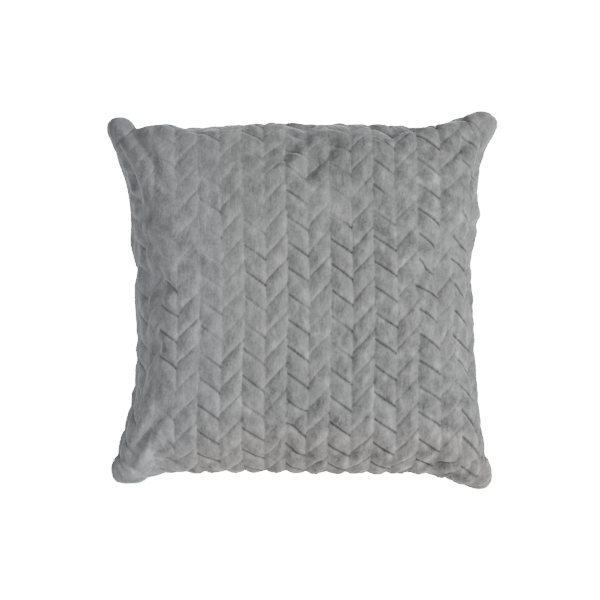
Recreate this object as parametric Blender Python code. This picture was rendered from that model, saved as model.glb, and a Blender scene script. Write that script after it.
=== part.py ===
"""A square throw pillow: a zipped plush cover around a fibre-filled insert.

The pillow lies on its back with its face up. +X is the width, +Y points away from the zipped
edge and +Z is up. The origin is under the middle of the pillow, on the surface it lies on.

Every soft shell is drawn over the same grid of shares (p, q), each from -1 to 1: p runs
across the width and q from the zipped edge to the far one. outline() turns a pair of shares
into a place in the plan, and dome() gives the height off the seam plane there.

In the zip, "depth" is the distance inwards from the outermost line of the zipped edge, and
"side" is 1 for the front half and -1 for the back half.
"""

import math

import bmesh
import bpy

MM = 0.001

# Overall shape of the cover.
TOP_HALF_WIDTH = 223 * MM
BOTTOM_HALF_WIDTH = 214 * MM
LEFT_HALF_HEIGHT = 210 * MM
RIGHT_HALF_HEIGHT = 215 * MM
LEFT_PULL_IN = 35 * MM
RIGHT_PULL_IN = 27 * MM
TOP_PULL_IN = 15 * MM
BOTTOM_PULL_IN = 20 * MM
CORNER_ROUNDING = 16 * MM
CORNER_TIGHTNESS = 20
CROWN_HEIGHT = 70 * MM
BACK_FLATTENING = 10 * MM
SEAM_HEIGHT = CROWN_HEIGHT - BACK_FLATTENING

# Cloth and seams.
PANEL_WALL = 2.5 * MM
SEAM_ALLOWANCE = 10 * MM
ALLOWANCE_THICKNESS = 1.2 * MM
GAP = 0.3 * MM
THREAD = 0.6 * MM
OVERLOCK_BITE = 2.2 * MM

# Insert.
INSERT_ROOM = 4.1 * MM
INSERT_INSET = SEAM_ALLOWANCE + GAP + THREAD + INSERT_ROOM
INSERT_WALL = 0.8 * MM
INSERT_ALLOWANCE = 6 * MM
INSERT_SEAM_BITE = 2.5 * MM
FILL_ROOM = 2 * MM

# Zip.
ZIP_LENGTH = 260 * MM
MOUTH_LENGTH = ZIP_LENGTH + 2 * SEAM_ALLOWANCE
MOUTH_TAPER = 12 * MM
TAPE_THICKNESS = 0.6 * MM
TAPE_DEPTH = 3.0 * MM
TAPE_END = 8 * MM
COIL_THICKNESS = 1.8 * MM
COIL_HALF_WIDTH = 1.9 * MM
COIL_SLOT = 1.4 * MM
STOP_LENGTH = 2.5 * MM
STOP_GAP = 0.3 * MM
SLIDER_LENGTH = 9 * MM
SLIDER_HALF_WIDTH = 2.9 * MM
SLIDER_PLATE = 0.8 * MM
SLIDER_POST = 0.8 * MM
SLIDER_POST_LENGTH = 4 * MM
SLIDER_CLEARANCE = 0.45 * MM
ZIP_MOUTH = 2 * (SLIDER_HALF_WIDTH + SLIDER_CLEARANCE + TAPE_THICKNESS + GAP)
CROWN_LENGTH = 5.6 * MM
CROWN_WIDTH = 1.6 * MM
CROWN_BAR = 0.8 * MM
CROWN_OPENING = 1.7 * MM
PULL_LENGTH = 24 * MM
PULL_HALF_WIDTH = 2.2 * MM
PULL_THICKNESS = 1.0 * MM
PULL_HOLE = 1.2 * MM
PULL_ARM = 0.8 * MM
PULL_REACH = 1.2 * MM
PIVOT_PROUD = 0.01 * MM

# Care label.
LABEL_WIDTH = 22 * MM
LABEL_HEIGHT = 14 * MM
LABEL_THICKNESS = 0.6 * MM
LABEL_CLEARANCE = 1.3 * MM
LABEL_PLACE = -70 * MM

# Fineness of the soft shells.
CELLS = 16

PLUSH_GREY = (0.262, 0.262, 0.262)
THREAD_GREY = (0.22, 0.22, 0.225)
TAPE_GREY = (0.18, 0.18, 0.185)
COIL_GREY = (0.2, 0.2, 0.205)
ZINC = (0.55, 0.55, 0.56)
NONWOVEN_WHITE = (0.82, 0.82, 0.81)
FIBRE_WHITE = (0.9, 0.9, 0.89)
LABEL_WHITE = (0.85, 0.85, 0.84)


def clear_scene():
    """Removes every object, so that the model starts from nothing."""
    for obj in list(bpy.data.objects):
        bpy.data.objects.remove(obj, do_unlink=True)


def finish(name, color, roughness, metallic=0.0):
    """A Principled material of one colour."""
    material = bpy.data.materials.new(name)
    material.use_nodes = True
    shader = material.node_tree.nodes["Principled BSDF"]
    shader.inputs["Base Color"].default_value = (*color, 1.0)
    shader.inputs["Roughness"].default_value = roughness
    shader.inputs["Metallic"].default_value = metallic
    return material


def add_solid(name, points, faces, material, smooth=False):
    """An object made of these points and faces, with its faces turned outwards."""
    mesh = bpy.data.meshes.new(name)
    mesh.from_pydata(points, [], faces)
    shape = bmesh.new()
    shape.from_mesh(mesh)
    bmesh.ops.remove_doubles(shape, verts=shape.verts, dist=1e-6)
    bmesh.ops.recalc_face_normals(shape, faces=shape.faces)
    if shape.calc_volume(signed=True) < 0:
        bmesh.ops.reverse_faces(shape, faces=shape.faces)
    shape.to_mesh(mesh)
    shape.free()
    mesh.materials.append(material)
    obj = bpy.data.objects.new(name, mesh)
    bpy.context.collection.objects.link(obj)
    if smooth:
        mesh.shade_smooth()
        mesh.set_sharp_from_angle(angle=math.radians(40))
    return obj


def smooth_step(value, start, end):
    """0 before start, 1 after end, and a smooth climb between them."""
    share = min(max((value - start) / (end - start), 0.0), 1.0)
    return share * share * (3 - 2 * share)


# Shape of the soft shells.


def side_line(share, pulled_in, low_corner, high_corner, straight, power):
    """How far a side lies from the centre line, from its pulled-in middle to its corners."""
    corner = high_corner if share > 0 else low_corner
    middle = (low_corner + high_corner) / 2 - pulled_in
    climb = max((abs(share) - straight) / (1 - straight), 0.0) ** power
    return middle + (corner - middle) * climb


def outline(p, q, inset=0.0):
    """The place in the plan of the shares (p, q), drawn in from the seam by inset."""
    left = -side_line(q, LEFT_PULL_IN, BOTTOM_HALF_WIDTH, TOP_HALF_WIDTH, 0.0, 2.4)
    right = side_line(q, RIGHT_PULL_IN, BOTTOM_HALF_WIDTH, TOP_HALF_WIDTH, 0.25, 2.0)
    top = side_line(p, TOP_PULL_IN, LEFT_HALF_HEIGHT, RIGHT_HALF_HEIGHT, 0.5, 2.0)
    straight = zip_share(MOUTH_LENGTH / 2 + MOUTH_TAPER)
    bottom = -side_line(p, BOTTOM_PULL_IN, LEFT_HALF_HEIGHT, RIGHT_HALF_HEIGHT, straight, 1.3)
    rounding = CORNER_ROUNDING * (1 - math.sqrt(0.5)) * abs(p * q) ** CORNER_TIGHTNESS
    x = left + (right - left) * (1 + p) / 2
    y = bottom + (top - bottom) * (1 + q) / 2
    return (
        x - math.copysign(rounding, p) - inset * p,
        y - math.copysign(rounding, q) - inset * q,
    )


def zip_share(x):
    """The share p of a place x along the zipped edge."""
    return x / BOTTOM_HALF_WIDTH


def mouth(p, q):
    """Half the height at which the two panels stand apart: the zip's mouth, or a closed seam."""
    x = abs(p) * BOTTOM_HALF_WIDTH
    opened = 1 - smooth_step(x, MOUTH_LENGTH / 2, MOUTH_LENGTH / 2 + MOUTH_TAPER)
    return GAP / 2 + (ZIP_MOUTH - GAP) / 2 * opened * max(-q, 0.0)


def dome(p, q, crown, rim):
    """Height off the seam plane of a shell with this crown, which starts at rim at the seam."""
    swell = crown * math.sqrt(max(1 - p * p, 0.0) * max(1 - q * q, 0.0))
    return math.hypot(swell, rim * (1 - swell / crown))


def stations(count):
    """Shares from -1 to 1, closer together towards the ends."""
    return [math.sin(math.pi / 2 * (2 * k / count - 1)) for k in range(count + 1)]


def width_stations():
    """The stations across the width, with one at each end of the zip's mouth and of its taper."""
    ends = [zip_share(MOUTH_LENGTH / 2), zip_share(MOUTH_LENGTH / 2 + MOUTH_TAPER)]
    room = (ends[1] - ends[0]) / 2
    kept = [s for s in stations(CELLS) if not ends[0] - room < abs(s) < ends[1] + room]
    return sorted(kept + ends + [-end for end in ends])


def rim_shares(across, along):
    """The shares (p, q) round the edge, once, anticlockwise from the zipped edge's left end."""
    return (
        [(p, -1.0) for p in across[:-1]]
        + [(1.0, q) for q in along[:-1]]
        + [(p, 1.0) for p in across[:0:-1]]
        + [(-1.0, q) for q in along[:0:-1]]
    )


class Shell:
    """Collects the grids and rings of points that make up one closed soft shell."""

    def __init__(self, across, along, side):
        self.across = across
        self.along = along
        self.side = side
        self.points = []
        self.faces = []

    def place(self, p, q, inset, height):
        """A point at this height off the seam plane, on the shell's own side of it."""
        x, y = outline(p, q, inset)
        return x, y, SEAM_HEIGHT + self.side * height

    def add_grid(self, inset, height, floor=0.0):
        """A full grid of points; a back shell's are pressed flat where they would pass floor."""
        start = len(self.points)
        for q in self.along:
            for p in self.across:
                x, y, z = self.place(p, q, inset, height(p, q))
                self.points.append((x, y, max(z, floor)))
        row = len(self.across)
        for j in range(len(self.along) - 1):
            for i in range(row - 1):
                a = start + j * row + i
                self.faces.append((a, a + 1, a + row + 1, a + row))

    def add_ring(self, inset, height):
        """One ring of points round the edge."""
        return [self.place(p, q, inset, height(p, q)) for p, q in rim_shares(self.across, self.along)]

    def join_rings(self, rings):
        """Bands of faces from each ring to the next; points that coincide are merged later."""
        count = len(rings[0])
        for low, high in zip(rings, rings[1:]):
            start = len(self.points)
            self.points += low + high
            for i in range(count):
                j = (i + 1) % count
                self.faces.append((start + i, start + j, start + count + j, start + count + i))


def lined_shell(name, side, inset, crown, wall, allowance, allowance_thickness, rim, floor, material):
    """One face of a cover or an insert: a domed wall with its seam allowance turned inwards.

    The wall's outside starts at rim off the seam plane. Its floor is as low as it may reach.
    """
    shell = Shell(width_stations(), stations(CELLS), side)

    def inner_rim(p, q):
        return rim(p, q) + allowance_thickness

    shell.add_grid(inset, lambda p, q: dome(p, q, crown, rim(p, q)), floor)
    shell.add_grid(inset + wall, lambda p, q: dome(p, q, crown - wall, inner_rim(p, q)), floor + wall)
    shell.join_rings(
        [
            shell.add_ring(inset, rim),
            shell.add_ring(inset + allowance, rim),
            shell.add_ring(inset + allowance, inner_rim),
            shell.add_ring(inset + wall, inner_rim),
        ]
    )
    return add_solid(name, shell.points, shell.faces, material, smooth=True)


def fill_solid(name, inset, crown, floor, material):
    """The body of loose fibre that fills the insert."""
    solid = Shell(width_stations(), stations(CELLS), 1)
    solid.add_grid(inset, lambda p, q: dome(p, q, crown, GAP / 2))
    solid.side = -1
    solid.add_grid(inset, lambda p, q: dome(p, q, crown, GAP / 2), floor)
    solid.side = 1
    low = [(x, y, 2 * SEAM_HEIGHT - z) for x, y, z in solid.add_ring(inset, lambda p, q: GAP / 2)]
    solid.join_rings([low, solid.add_ring(inset, lambda p, q: GAP / 2)])
    return add_solid(name, solid.points, solid.faces, material, smooth=True)


def swept(name, shares, section, material, closed=False):
    """A band along the edge: section(p, q) gives its outline as (inset, height) pairs."""
    points = []
    for p, q in shares:
        for inset, height in section(p, q):
            x, y = outline(p, q, inset)
            points.append((x, y, SEAM_HEIGHT + height))
    size = len(section(*shares[0]))
    faces = []
    steps = len(shares) if closed else len(shares) - 1
    for k in range(steps):
        for i in range(size):
            j = (i + 1) % size
            a, b = k * size, (k + 1) % len(shares) * size
            faces.append((a + i, a + j, b + j, b + i))
    if not closed:
        faces.append(tuple(range(size)))
        faces.append(tuple(range((len(shares) - 1) * size, len(shares) * size)))
    return add_solid(name, points, faces, material)


def binding(start, end, low, high, thickness):
    """A C-shaped section: legs at low and high, from depth start to a web around depth end."""
    return [
        (start, low - thickness),
        (end + thickness, low - thickness),
        (end + thickness, high + thickness),
        (start, high + thickness),
        (start, high),
        (end, high),
        (end, low),
        (start, low),
    ]


def seam_shares():
    """The stations of the closed seam, from one end of the zip's mouth round to the other."""
    closed_from = zip_share(MOUTH_LENGTH / 2 + MOUTH_TAPER) - 1e-6
    shares = rim_shares(width_stations(), stations(CELLS))
    after = [s for s in shares if not (s[1] == -1.0 and s[0] < closed_from)]
    before = [s for s in shares if s[1] == -1.0 and s[0] <= -closed_from]
    return after + before


# The cover.


def build_cover(plush, thread, label_cloth):
    """Both panels, the binding round their seam and the label."""
    for name, side in (("front_panel", 1), ("back_panel", -1)):
        lined_shell(
            name, side, 0.0, CROWN_HEIGHT, PANEL_WALL, SEAM_ALLOWANCE, ALLOWANCE_THICKNESS, mouth, 0.0, plush
        )
    outside = GAP / 2 + ALLOWANCE_THICKNESS + GAP
    reach = SEAM_ALLOWANCE + GAP
    swept(
        "seam_overlock",
        seam_shares(),
        lambda p, q: binding(reach - OVERLOCK_BITE, reach, -outside, outside, THREAD),
        thread,
    )
    build_label(label_cloth)


def build_label(cloth):
    """A strip that stands on the binding of the left seam, just under the front panel."""
    start = SEAM_ALLOWANCE + GAP + THREAD + GAP - PANEL_WALL
    steps = 4
    points = []
    for y in (LABEL_PLACE - LABEL_WIDTH / 2, LABEL_PLACE + LABEL_WIDTH / 2):
        q = y / LEFT_HALF_HEIGHT
        for drop in (LABEL_CLEARANCE, LABEL_CLEARANCE + LABEL_THICKNESS):
            for k in range(steps + 1):
                p = -1 + (start + LABEL_HEIGHT * k / steps) / TOP_HALF_WIDTH
                x, y_there = outline(p, q, PANEL_WALL)
                height = dome(p, q, CROWN_HEIGHT - PANEL_WALL, GAP) - drop
                points.append((x, y_there, SEAM_HEIGHT + height))
    size = steps + 1
    faces = [(0, size, 3 * size, 2 * size)]
    faces.append((steps, size + steps, 3 * size + steps, 2 * size + steps))
    for k in range(steps):
        for a, b in ((0, size), (size, 3 * size), (3 * size, 2 * size), (2 * size, 0)):
            faces.append((a + k, b + k, b + k + 1, a + k + 1))
    add_solid("care_label", points, faces, cloth)


# The insert.


def build_insert(nonwoven, thread, fibre):
    """The insert's two shells, their seam and the filling."""
    crown = CROWN_HEIGHT - PANEL_WALL - GAP
    floor = PANEL_WALL + GAP

    def rim(p, q):
        return GAP / 2

    for name, side in (("insert_front_shell", 1), ("insert_back_shell", -1)):
        lined_shell(
            name, side, INSERT_INSET, crown, INSERT_WALL, INSERT_ALLOWANCE, INSERT_WALL, rim, floor, nonwoven
        )
    outside = GAP / 2 + INSERT_WALL + GAP
    reach = INSERT_INSET + INSERT_ALLOWANCE + GAP
    swept(
        "insert_seam",
        rim_shares(width_stations(), stations(CELLS)),
        lambda p, q: binding(reach - INSERT_SEAM_BITE, reach, -outside, outside, THREAD),
        thread,
        closed=True,
    )
    lining = INSERT_WALL + GAP
    inset = INSERT_INSET + INSERT_ALLOWANCE + GAP + THREAD + FILL_ROOM
    fill_solid("fibre_fill", inset, crown - lining, floor + lining, fibre)


# The zip.


def zip_edge_y(depth):
    """World y of a depth in the zip, which lies in the straight middle of the zipped edge."""
    return outline(0.0, -1.0)[1] + depth


def bar(name, x_range, profile, material):
    """A straight bar along X: profile lists its (depth, height) corners."""
    points = [(x, zip_edge_y(depth), SEAM_HEIGHT + height) for x in x_range for depth, height in profile]
    size = len(profile)
    faces = [tuple(range(size)), tuple(range(size, 2 * size))]
    faces += [(i, (i + 1) % size, size + (i + 1) % size, size + i) for i in range(size)]
    return add_solid(name, points, faces, material)


def box(name, x_range, depth_range, height_range, material):
    """A straight-sided block in the zip's own directions."""
    low, high = height_range
    near, far = depth_range
    return bar(name, x_range, [(near, low), (far, low), (far, high), (near, high)], material)


def union(name, pieces):
    """Joins overlapping pieces into the first, which takes the name."""
    body = pieces[0]
    body.name = name
    for k, piece in enumerate(pieces[1:]):
        piece.name = f"{name}_part_{k}"
        piece.hide_render = True
        piece.display_type = "WIRE"
        join = body.modifiers.new(f"join {k}", "BOOLEAN")
        join.operation = "UNION"
        join.object = piece
    return body


def cut(body, cutter):
    """Cuts one piece out of another."""
    cutter.hide_render = True
    cutter.display_type = "WIRE"
    hole = body.modifiers.new("hole", "BOOLEAN")
    hole.operation = "DIFFERENCE"
    hole.object = cutter


def round_bar(name, centre, radius, half_length, axis, material):
    """A cylinder centred in the zip's (x, depth, height) directions, along "height" or "depth"."""
    sides = 16
    points = []
    for end in (-half_length, half_length):
        for k in range(sides):
            turn = 2 * math.pi * k / sides
            x = centre[0] + radius * math.cos(turn)
            if axis == "height":
                depth = centre[1] + radius * math.sin(turn)
                height = centre[2] + end
            else:
                depth = centre[1] + end
                height = centre[2] + radius * math.sin(turn)
            points.append((x, zip_edge_y(depth), SEAM_HEIGHT + height))
    faces = [tuple(range(sides)), tuple(range(sides, 2 * sides))]
    faces += [(k, (k + 1) % sides, sides + (k + 1) % sides, sides + k) for k in range(sides)]
    return add_solid(name, points, faces, material, smooth=True)


def coil_depths():
    """Depth of the coils' near and far faces."""
    near = TAPE_DEPTH + TAPE_THICKNESS + GAP
    return near, near + COIL_THICKNESS


def inner_plate_depths():
    """Depth of the near and far faces of the slider's inner plate."""
    near = coil_depths()[1] + SLIDER_CLEARANCE
    return near, near + SLIDER_PLATE


def stop_face():
    """Distance from the middle of the zip to the face of each stop that meets the slider."""
    return ZIP_LENGTH / 2 - TAPE_END - STOP_LENGTH


def build_tapes(tape_cloth, coil_nylon, thread):
    """Each half's tape, coil and the binding that holds the tape to the seam allowance."""
    half = ZIP_LENGTH / 2
    web_outside = ZIP_MOUTH / 2 - GAP
    web_inside = web_outside - TAPE_THICKNESS
    coil_inner = COIL_SLOT / 2
    coil_outer = coil_inner + COIL_HALF_WIDTH
    allowance_top = ZIP_MOUTH / 2 + ALLOWANCE_THICKNESS
    reach = SEAM_ALLOWANCE + GAP
    for name, side in (("front", 1), ("back", -1)):
        tape = [
            (TAPE_DEPTH, side * coil_inner),
            (TAPE_DEPTH, side * web_outside),
            (SEAM_ALLOWANCE, side * web_outside),
            (SEAM_ALLOWANCE, side * web_inside),
            (TAPE_DEPTH + TAPE_THICKNESS, side * web_inside),
            (TAPE_DEPTH + TAPE_THICKNESS, side * coil_inner),
        ]
        bar(f"zip_tape_{name}", (-half, half), tape, tape_cloth)
        heights = sorted((side * coil_inner, side * coil_outer))
        coil_ends = (STOP_GAP - stop_face(), stop_face() - STOP_GAP)
        box(f"zip_coil_{name}", coil_ends, coil_depths(), heights, coil_nylon)
        legs_start = inner_plate_depths()[1] + SLIDER_CLEARANCE
        legs = binding(legs_start, reach, web_inside - GAP, allowance_top + GAP, THREAD)
        bar(f"zip_overlock_{name}", (-half, half), [(depth, side * height) for depth, height in legs], thread)


def build_stops(zinc):
    """Two top stops at the right end, one on each coil, and one bottom stop across both."""
    near = stop_face()
    far = near + STOP_LENGTH
    depths = coil_depths()
    inner = COIL_SLOT / 2
    outer = inner + COIL_HALF_WIDTH
    box("zip_top_stop_front", (near, far), depths, (inner, outer), zinc)
    box("zip_top_stop_back", (near, far), depths, (-outer, -inner), zinc)
    box("zip_bottom_stop", (-far, -near), depths, (-outer, outer), zinc)


def slider_place():
    """World x of the slider's middle when the zip is closed; fully open, it is at minus this."""
    return stop_face() - STOP_GAP - SLIDER_LENGTH / 2


def crown_depth():
    """Depth of the pull's pivot, half way through the crown's opening."""
    return TAPE_DEPTH - SLIDER_CLEARANCE - SLIDER_PLATE - CROWN_OPENING / 2


def build_slider(zinc):
    """Outer and inner plates joined by a post between the coils, and the crown for the pull."""
    middle = slider_place()
    ends = (middle - SLIDER_LENGTH / 2, middle + SLIDER_LENGTH / 2)
    width = (-SLIDER_HALF_WIDTH, SLIDER_HALF_WIDTH)
    plate_back = TAPE_DEPTH - SLIDER_CLEARANCE
    plate_front = plate_back - SLIDER_PLATE
    inner_front, inner_back = inner_plate_depths()
    lap = SLIDER_PLATE / 2
    post = (-SLIDER_POST / 2, SLIDER_POST / 2)
    post_ends = (middle - SLIDER_POST_LENGTH / 2, middle + SLIDER_POST_LENGTH / 2)
    crown_front = plate_front - CROWN_OPENING
    crown = (-CROWN_WIDTH / 2, CROWN_WIDTH / 2)
    crown_ends = (middle - CROWN_LENGTH / 2, middle + CROWN_LENGTH / 2)
    pieces = [
        box("outer_plate", ends, (plate_front, plate_back), width, zinc),
        box("inner_plate", ends, (inner_front, inner_back), width, zinc),
        box("post", post_ends, (plate_back - lap, inner_front + lap), post, zinc),
        box("crown_top", crown_ends, (crown_front - CROWN_BAR, crown_front), crown, zinc),
    ]
    for end, inwards in ((crown_ends[0], 1), (crown_ends[1], -1)):
        leg = sorted((end, end + inwards * CROWN_BAR))
        pieces.append(box("crown_leg", leg, (crown_front - lap, plate_front + lap), crown, zinc))
    union("zip_slider", pieces)


def build_pull(zinc):
    """A tab with a pivot bar through the crown and an arm on each side of it."""
    middle = slider_place()
    depth = crown_depth()
    thickness = (depth - PULL_THICKNESS / 2, depth + PULL_THICKNESS / 2)
    arm_inside = CROWN_WIDTH / 2 + GAP
    arm_outside = arm_inside + PULL_ARM
    tab_start = middle - CROWN_LENGTH / 2 - PULL_REACH
    tab_end = middle - PULL_LENGTH
    pieces = [
        box("tab", (tab_end, tab_start), thickness, (-PULL_HALF_WIDTH, PULL_HALF_WIDTH), zinc),
    ]
    for side in (1, -1):
        heights = sorted((side * arm_inside, side * arm_outside))
        pieces.append(box("arm", (tab_start - PULL_ARM, middle), thickness, heights, zinc))
    bar_radius = PULL_THICKNESS / 2 + PIVOT_PROUD
    pieces.append(round_bar("pivot_bar", (middle, depth, 0.0), bar_radius, arm_outside, "height", zinc))
    pull = union("zip_pull", pieces)
    place = (tab_end + 2 * PULL_HOLE, depth, 0.0)
    cut(pull, round_bar("pull_hole", place, PULL_HOLE, PULL_THICKNESS, "depth", zinc))


def main():
    clear_scene()
    plush = finish("plush", PLUSH_GREY, 0.95)
    thread = finish("thread", THREAD_GREY, 0.85)
    white_thread = finish("white thread", NONWOVEN_WHITE, 0.85)
    tape_cloth = finish("zip tape", TAPE_GREY, 0.85)
    coil_nylon = finish("zip coil", COIL_GREY, 0.45)
    zinc = finish("zinc alloy", ZINC, 0.35, 1.0)
    nonwoven = finish("nonwoven", NONWOVEN_WHITE, 0.85)
    fibre = finish("fibre", FIBRE_WHITE, 0.95)
    label_cloth = finish("label satin", LABEL_WHITE, 0.5)
    build_cover(plush, thread, label_cloth)
    build_insert(nonwoven, white_thread, fibre)
    build_tapes(tape_cloth, coil_nylon, thread)
    build_stops(zinc)
    build_slider(zinc)
    build_pull(zinc)


main()
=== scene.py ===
"""The looks of a square plush throw pillow with a plait-embossed cover, built round its frame.

Shapes are worked out in millimetres and turned into metres as each mesh is made. Cloth is
drawn over a grid of its flat cut, from -1 to 1 each way, so that the plaits, the folds and
the nap all lie on it as they lay before it was sewn and filled.
"""

from __future__ import annotations

import logging
import math
from dataclasses import dataclass
from enum import Enum
from typing import Any

import bmesh
import bpy
import numpy as np
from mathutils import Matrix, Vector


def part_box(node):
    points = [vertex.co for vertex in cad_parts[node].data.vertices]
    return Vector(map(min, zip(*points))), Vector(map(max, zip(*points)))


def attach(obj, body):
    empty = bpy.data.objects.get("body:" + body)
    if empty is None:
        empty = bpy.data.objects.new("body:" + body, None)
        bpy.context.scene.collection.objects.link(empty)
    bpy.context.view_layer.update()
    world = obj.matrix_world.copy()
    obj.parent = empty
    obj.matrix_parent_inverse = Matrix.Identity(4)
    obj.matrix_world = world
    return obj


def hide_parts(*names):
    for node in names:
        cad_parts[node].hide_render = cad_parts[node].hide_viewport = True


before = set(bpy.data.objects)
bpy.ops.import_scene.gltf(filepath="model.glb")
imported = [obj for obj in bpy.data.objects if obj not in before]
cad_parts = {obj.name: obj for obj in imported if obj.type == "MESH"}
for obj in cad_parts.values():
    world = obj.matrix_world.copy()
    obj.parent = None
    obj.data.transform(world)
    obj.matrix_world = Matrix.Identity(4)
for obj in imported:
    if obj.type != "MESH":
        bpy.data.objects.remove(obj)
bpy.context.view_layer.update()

MM = 0.001
LOG = logging.getLogger("throw_pillow")
Colour = tuple[float, float, float]
Array = np.ndarray


class Side(Enum):
    """Which way a cloth faces from the seam."""

    FRONT = 1
    BACK = -1


# Node trees.


class Value:
    """A number socket that takes part in Python sums, each of which adds a Math node."""

    def __init__(self, graph: "Graph", socket: Any) -> None:
        """Wraps an output socket of a node in this graph."""
        self.graph = graph
        self.socket = socket

    def __add__(self, other: Any) -> "Value":
        """The sum."""
        return self.graph.math("ADD", self, other)

    def __radd__(self, other: Any) -> "Value":
        """The sum, from the right."""
        return self.graph.math("ADD", other, self)

    def __sub__(self, other: Any) -> "Value":
        """The difference."""
        return self.graph.math("SUBTRACT", self, other)

    def __rsub__(self, other: Any) -> "Value":
        """The difference, from the right."""
        return self.graph.math("SUBTRACT", other, self)

    def __mul__(self, other: Any) -> "Value":
        """The product."""
        return self.graph.math("MULTIPLY", self, other)

    def __rmul__(self, other: Any) -> "Value":
        """The product, from the right."""
        return self.graph.math("MULTIPLY", other, self)

    def __truediv__(self, other: Any) -> "Value":
        """The quotient."""
        return self.graph.math("DIVIDE", self, other)

    def __rtruediv__(self, other: Any) -> "Value":
        """The quotient, from the right."""
        return self.graph.math("DIVIDE", other, self)

    def __abs__(self) -> "Value":
        """The value without its sign."""
        return self.graph.math("ABSOLUTE", self)


class Graph:
    """A node tree under construction."""

    def __init__(self, tree: bpy.types.NodeTree) -> None:
        """Starts from a tree that may already hold nodes."""
        self.tree = tree

    def node(
        self, kind: str, settings: dict | None = None, values: dict | None = None
    ) -> bpy.types.Node:
        """Adds a node.

        Args:
            kind: the node's type.
            settings: properties of the node, set first.
            values: numbers, vectors or links for its input sockets, by name or index.

        Returns:
            The node.
        """
        node = self.tree.nodes.new(kind)
        for name, setting in (settings or {}).items():
            setattr(node, name, setting)
        for name, value in (values or {}).items():
            self.feed(node.inputs[name], value)
        return node

    def feed(self, socket: Any, value: Any) -> None:
        """Links a socket to another, or sets its own value."""
        if isinstance(value, Value):
            value = value.socket
        if isinstance(value, bpy.types.NodeSocket):
            self.tree.links.new(value, socket)
        else:
            socket.default_value = value

    def value(self, kind: str, settings: dict | None = None, values: dict | None = None) -> Value:
        """Adds a node and wraps its first output."""
        return Value(self, self.node(kind, settings, values).outputs[0])

    def math(self, operation: str, *terms: Any) -> Value:
        """Adds a Math node on these terms."""
        return self.value("ShaderNodeMath", {"operation": operation}, dict(enumerate(terms)))

    def least(self, first: Any, second: Any) -> Value:
        """The smaller of two numbers."""
        return self.math("MINIMUM", first, second)

    def greatest(self, first: Any, second: Any) -> Value:
        """The larger of two numbers."""
        return self.math("MAXIMUM", first, second)

    def held(self, value: Any) -> Value:
        """The value kept between 0 and 1."""
        return self.least(self.greatest(value, 0.0), 1.0)

    def ease(self, value: Any, start: float, end: float) -> Value:
        """0 up to start, 1 from end, and a smooth climb between them."""
        share = self.held((value - start) / (end - start))
        return share * share * (3.0 - 2.0 * share)

    def vector(self, x: Any, y: Any, z: Any) -> Any:
        """A vector socket made of three numbers."""
        return self.node("ShaderNodeCombineXYZ", None, {0: x, 1: y, 2: z}).outputs[0]

    def parts(self, vector: Any) -> tuple[Value, Value, Value]:
        """The three numbers of a vector socket."""
        node = self.node("ShaderNodeSeparateXYZ", None, {0: vector})
        return Value(self, node.outputs[0]), Value(self, node.outputs[1]), Value(
            self, node.outputs[2]
        )

    def noise(self, place: Any, scale: float, detail: float = 2.0, roughness: float = 0.5) -> Value:
        """Soft random value around 0.5 at a place."""
        values = {"Vector": place, "Scale": scale, "Detail": detail, "Roughness": roughness}
        return self.value("ShaderNodeTexNoise", {"noise_dimensions": "3D"}, values)


class FinishGraph(Graph):
    """The node tree of a material, with its Principled shader."""

    def __init__(self, name: str, uniform: dict[str, Any]) -> None:
        """Makes the material and sets what is the same all over it on the shader's own sockets."""
        self.material = bpy.data.materials.new(name)
        self.material.use_nodes = True
        super().__init__(self.material.node_tree)
        self.shader = self.tree.nodes["Principled BSDF"]
        for socket, value in uniform.items():
            self.shader.inputs[socket].default_value = value

    def place(self) -> Any:
        """Object coordinates, in metres."""
        return self.node("ShaderNodeTexCoord").outputs["Object"]

    def attribute(self, name: str) -> bpy.types.Node:
        """An attribute kept on the mesh."""
        return self.node(
            "ShaderNodeAttribute", {"attribute_name": name, "attribute_type": "GEOMETRY"}
        )

    def fac(self, name: str) -> Value:
        """A number kept on the mesh."""
        return Value(self, self.attribute(name).outputs["Fac"])

    def stretched(self, vector: Any, x: float, y: float, z: float) -> Any:
        """A vector scaled along each axis."""
        node = self.node(
            "ShaderNodeVectorMath", {"operation": "MULTIPLY"}, {0: vector, 1: (x, y, z)}
        )
        return node.outputs[0]

    def mixed(self, share: Any, first: Any, second: Any) -> Any:
        """A colour between two, by share."""
        node = self.node("ShaderNodeMix", {"data_type": "RGBA", "clamp_factor": True}, {0: share})
        for socket, colour in ((node.inputs[6], first), (node.inputs[7], second)):
            self.feed(socket, (*colour, 1.0) if isinstance(colour, tuple) else colour)
        return node.outputs[2]

    def dimmed(self, colour: Any, share: Any) -> Any:
        """A colour times a number."""
        node = self.node("ShaderNodeVectorMath", {"operation": "SCALE"})
        self.feed(node.inputs[0], colour)
        self.feed(node.inputs["Scale"], share)
        return node.outputs[0]

    def bump(self, height: Any, reach: float, strength: float = 1.0) -> None:
        """Feeds the shader's Normal from a height, in metres of reach."""
        values = {"Strength": strength, "Distance": reach, "Height": height}
        self.feed(
            self.shader.inputs["Normal"], self.node("ShaderNodeBump", None, values).outputs[0]
        )

    def feed_shader(self, socket: str, value: Any) -> None:
        """Feeds one socket of the shader."""
        self.feed(self.shader.inputs[socket], value)


# Finishes.


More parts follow.
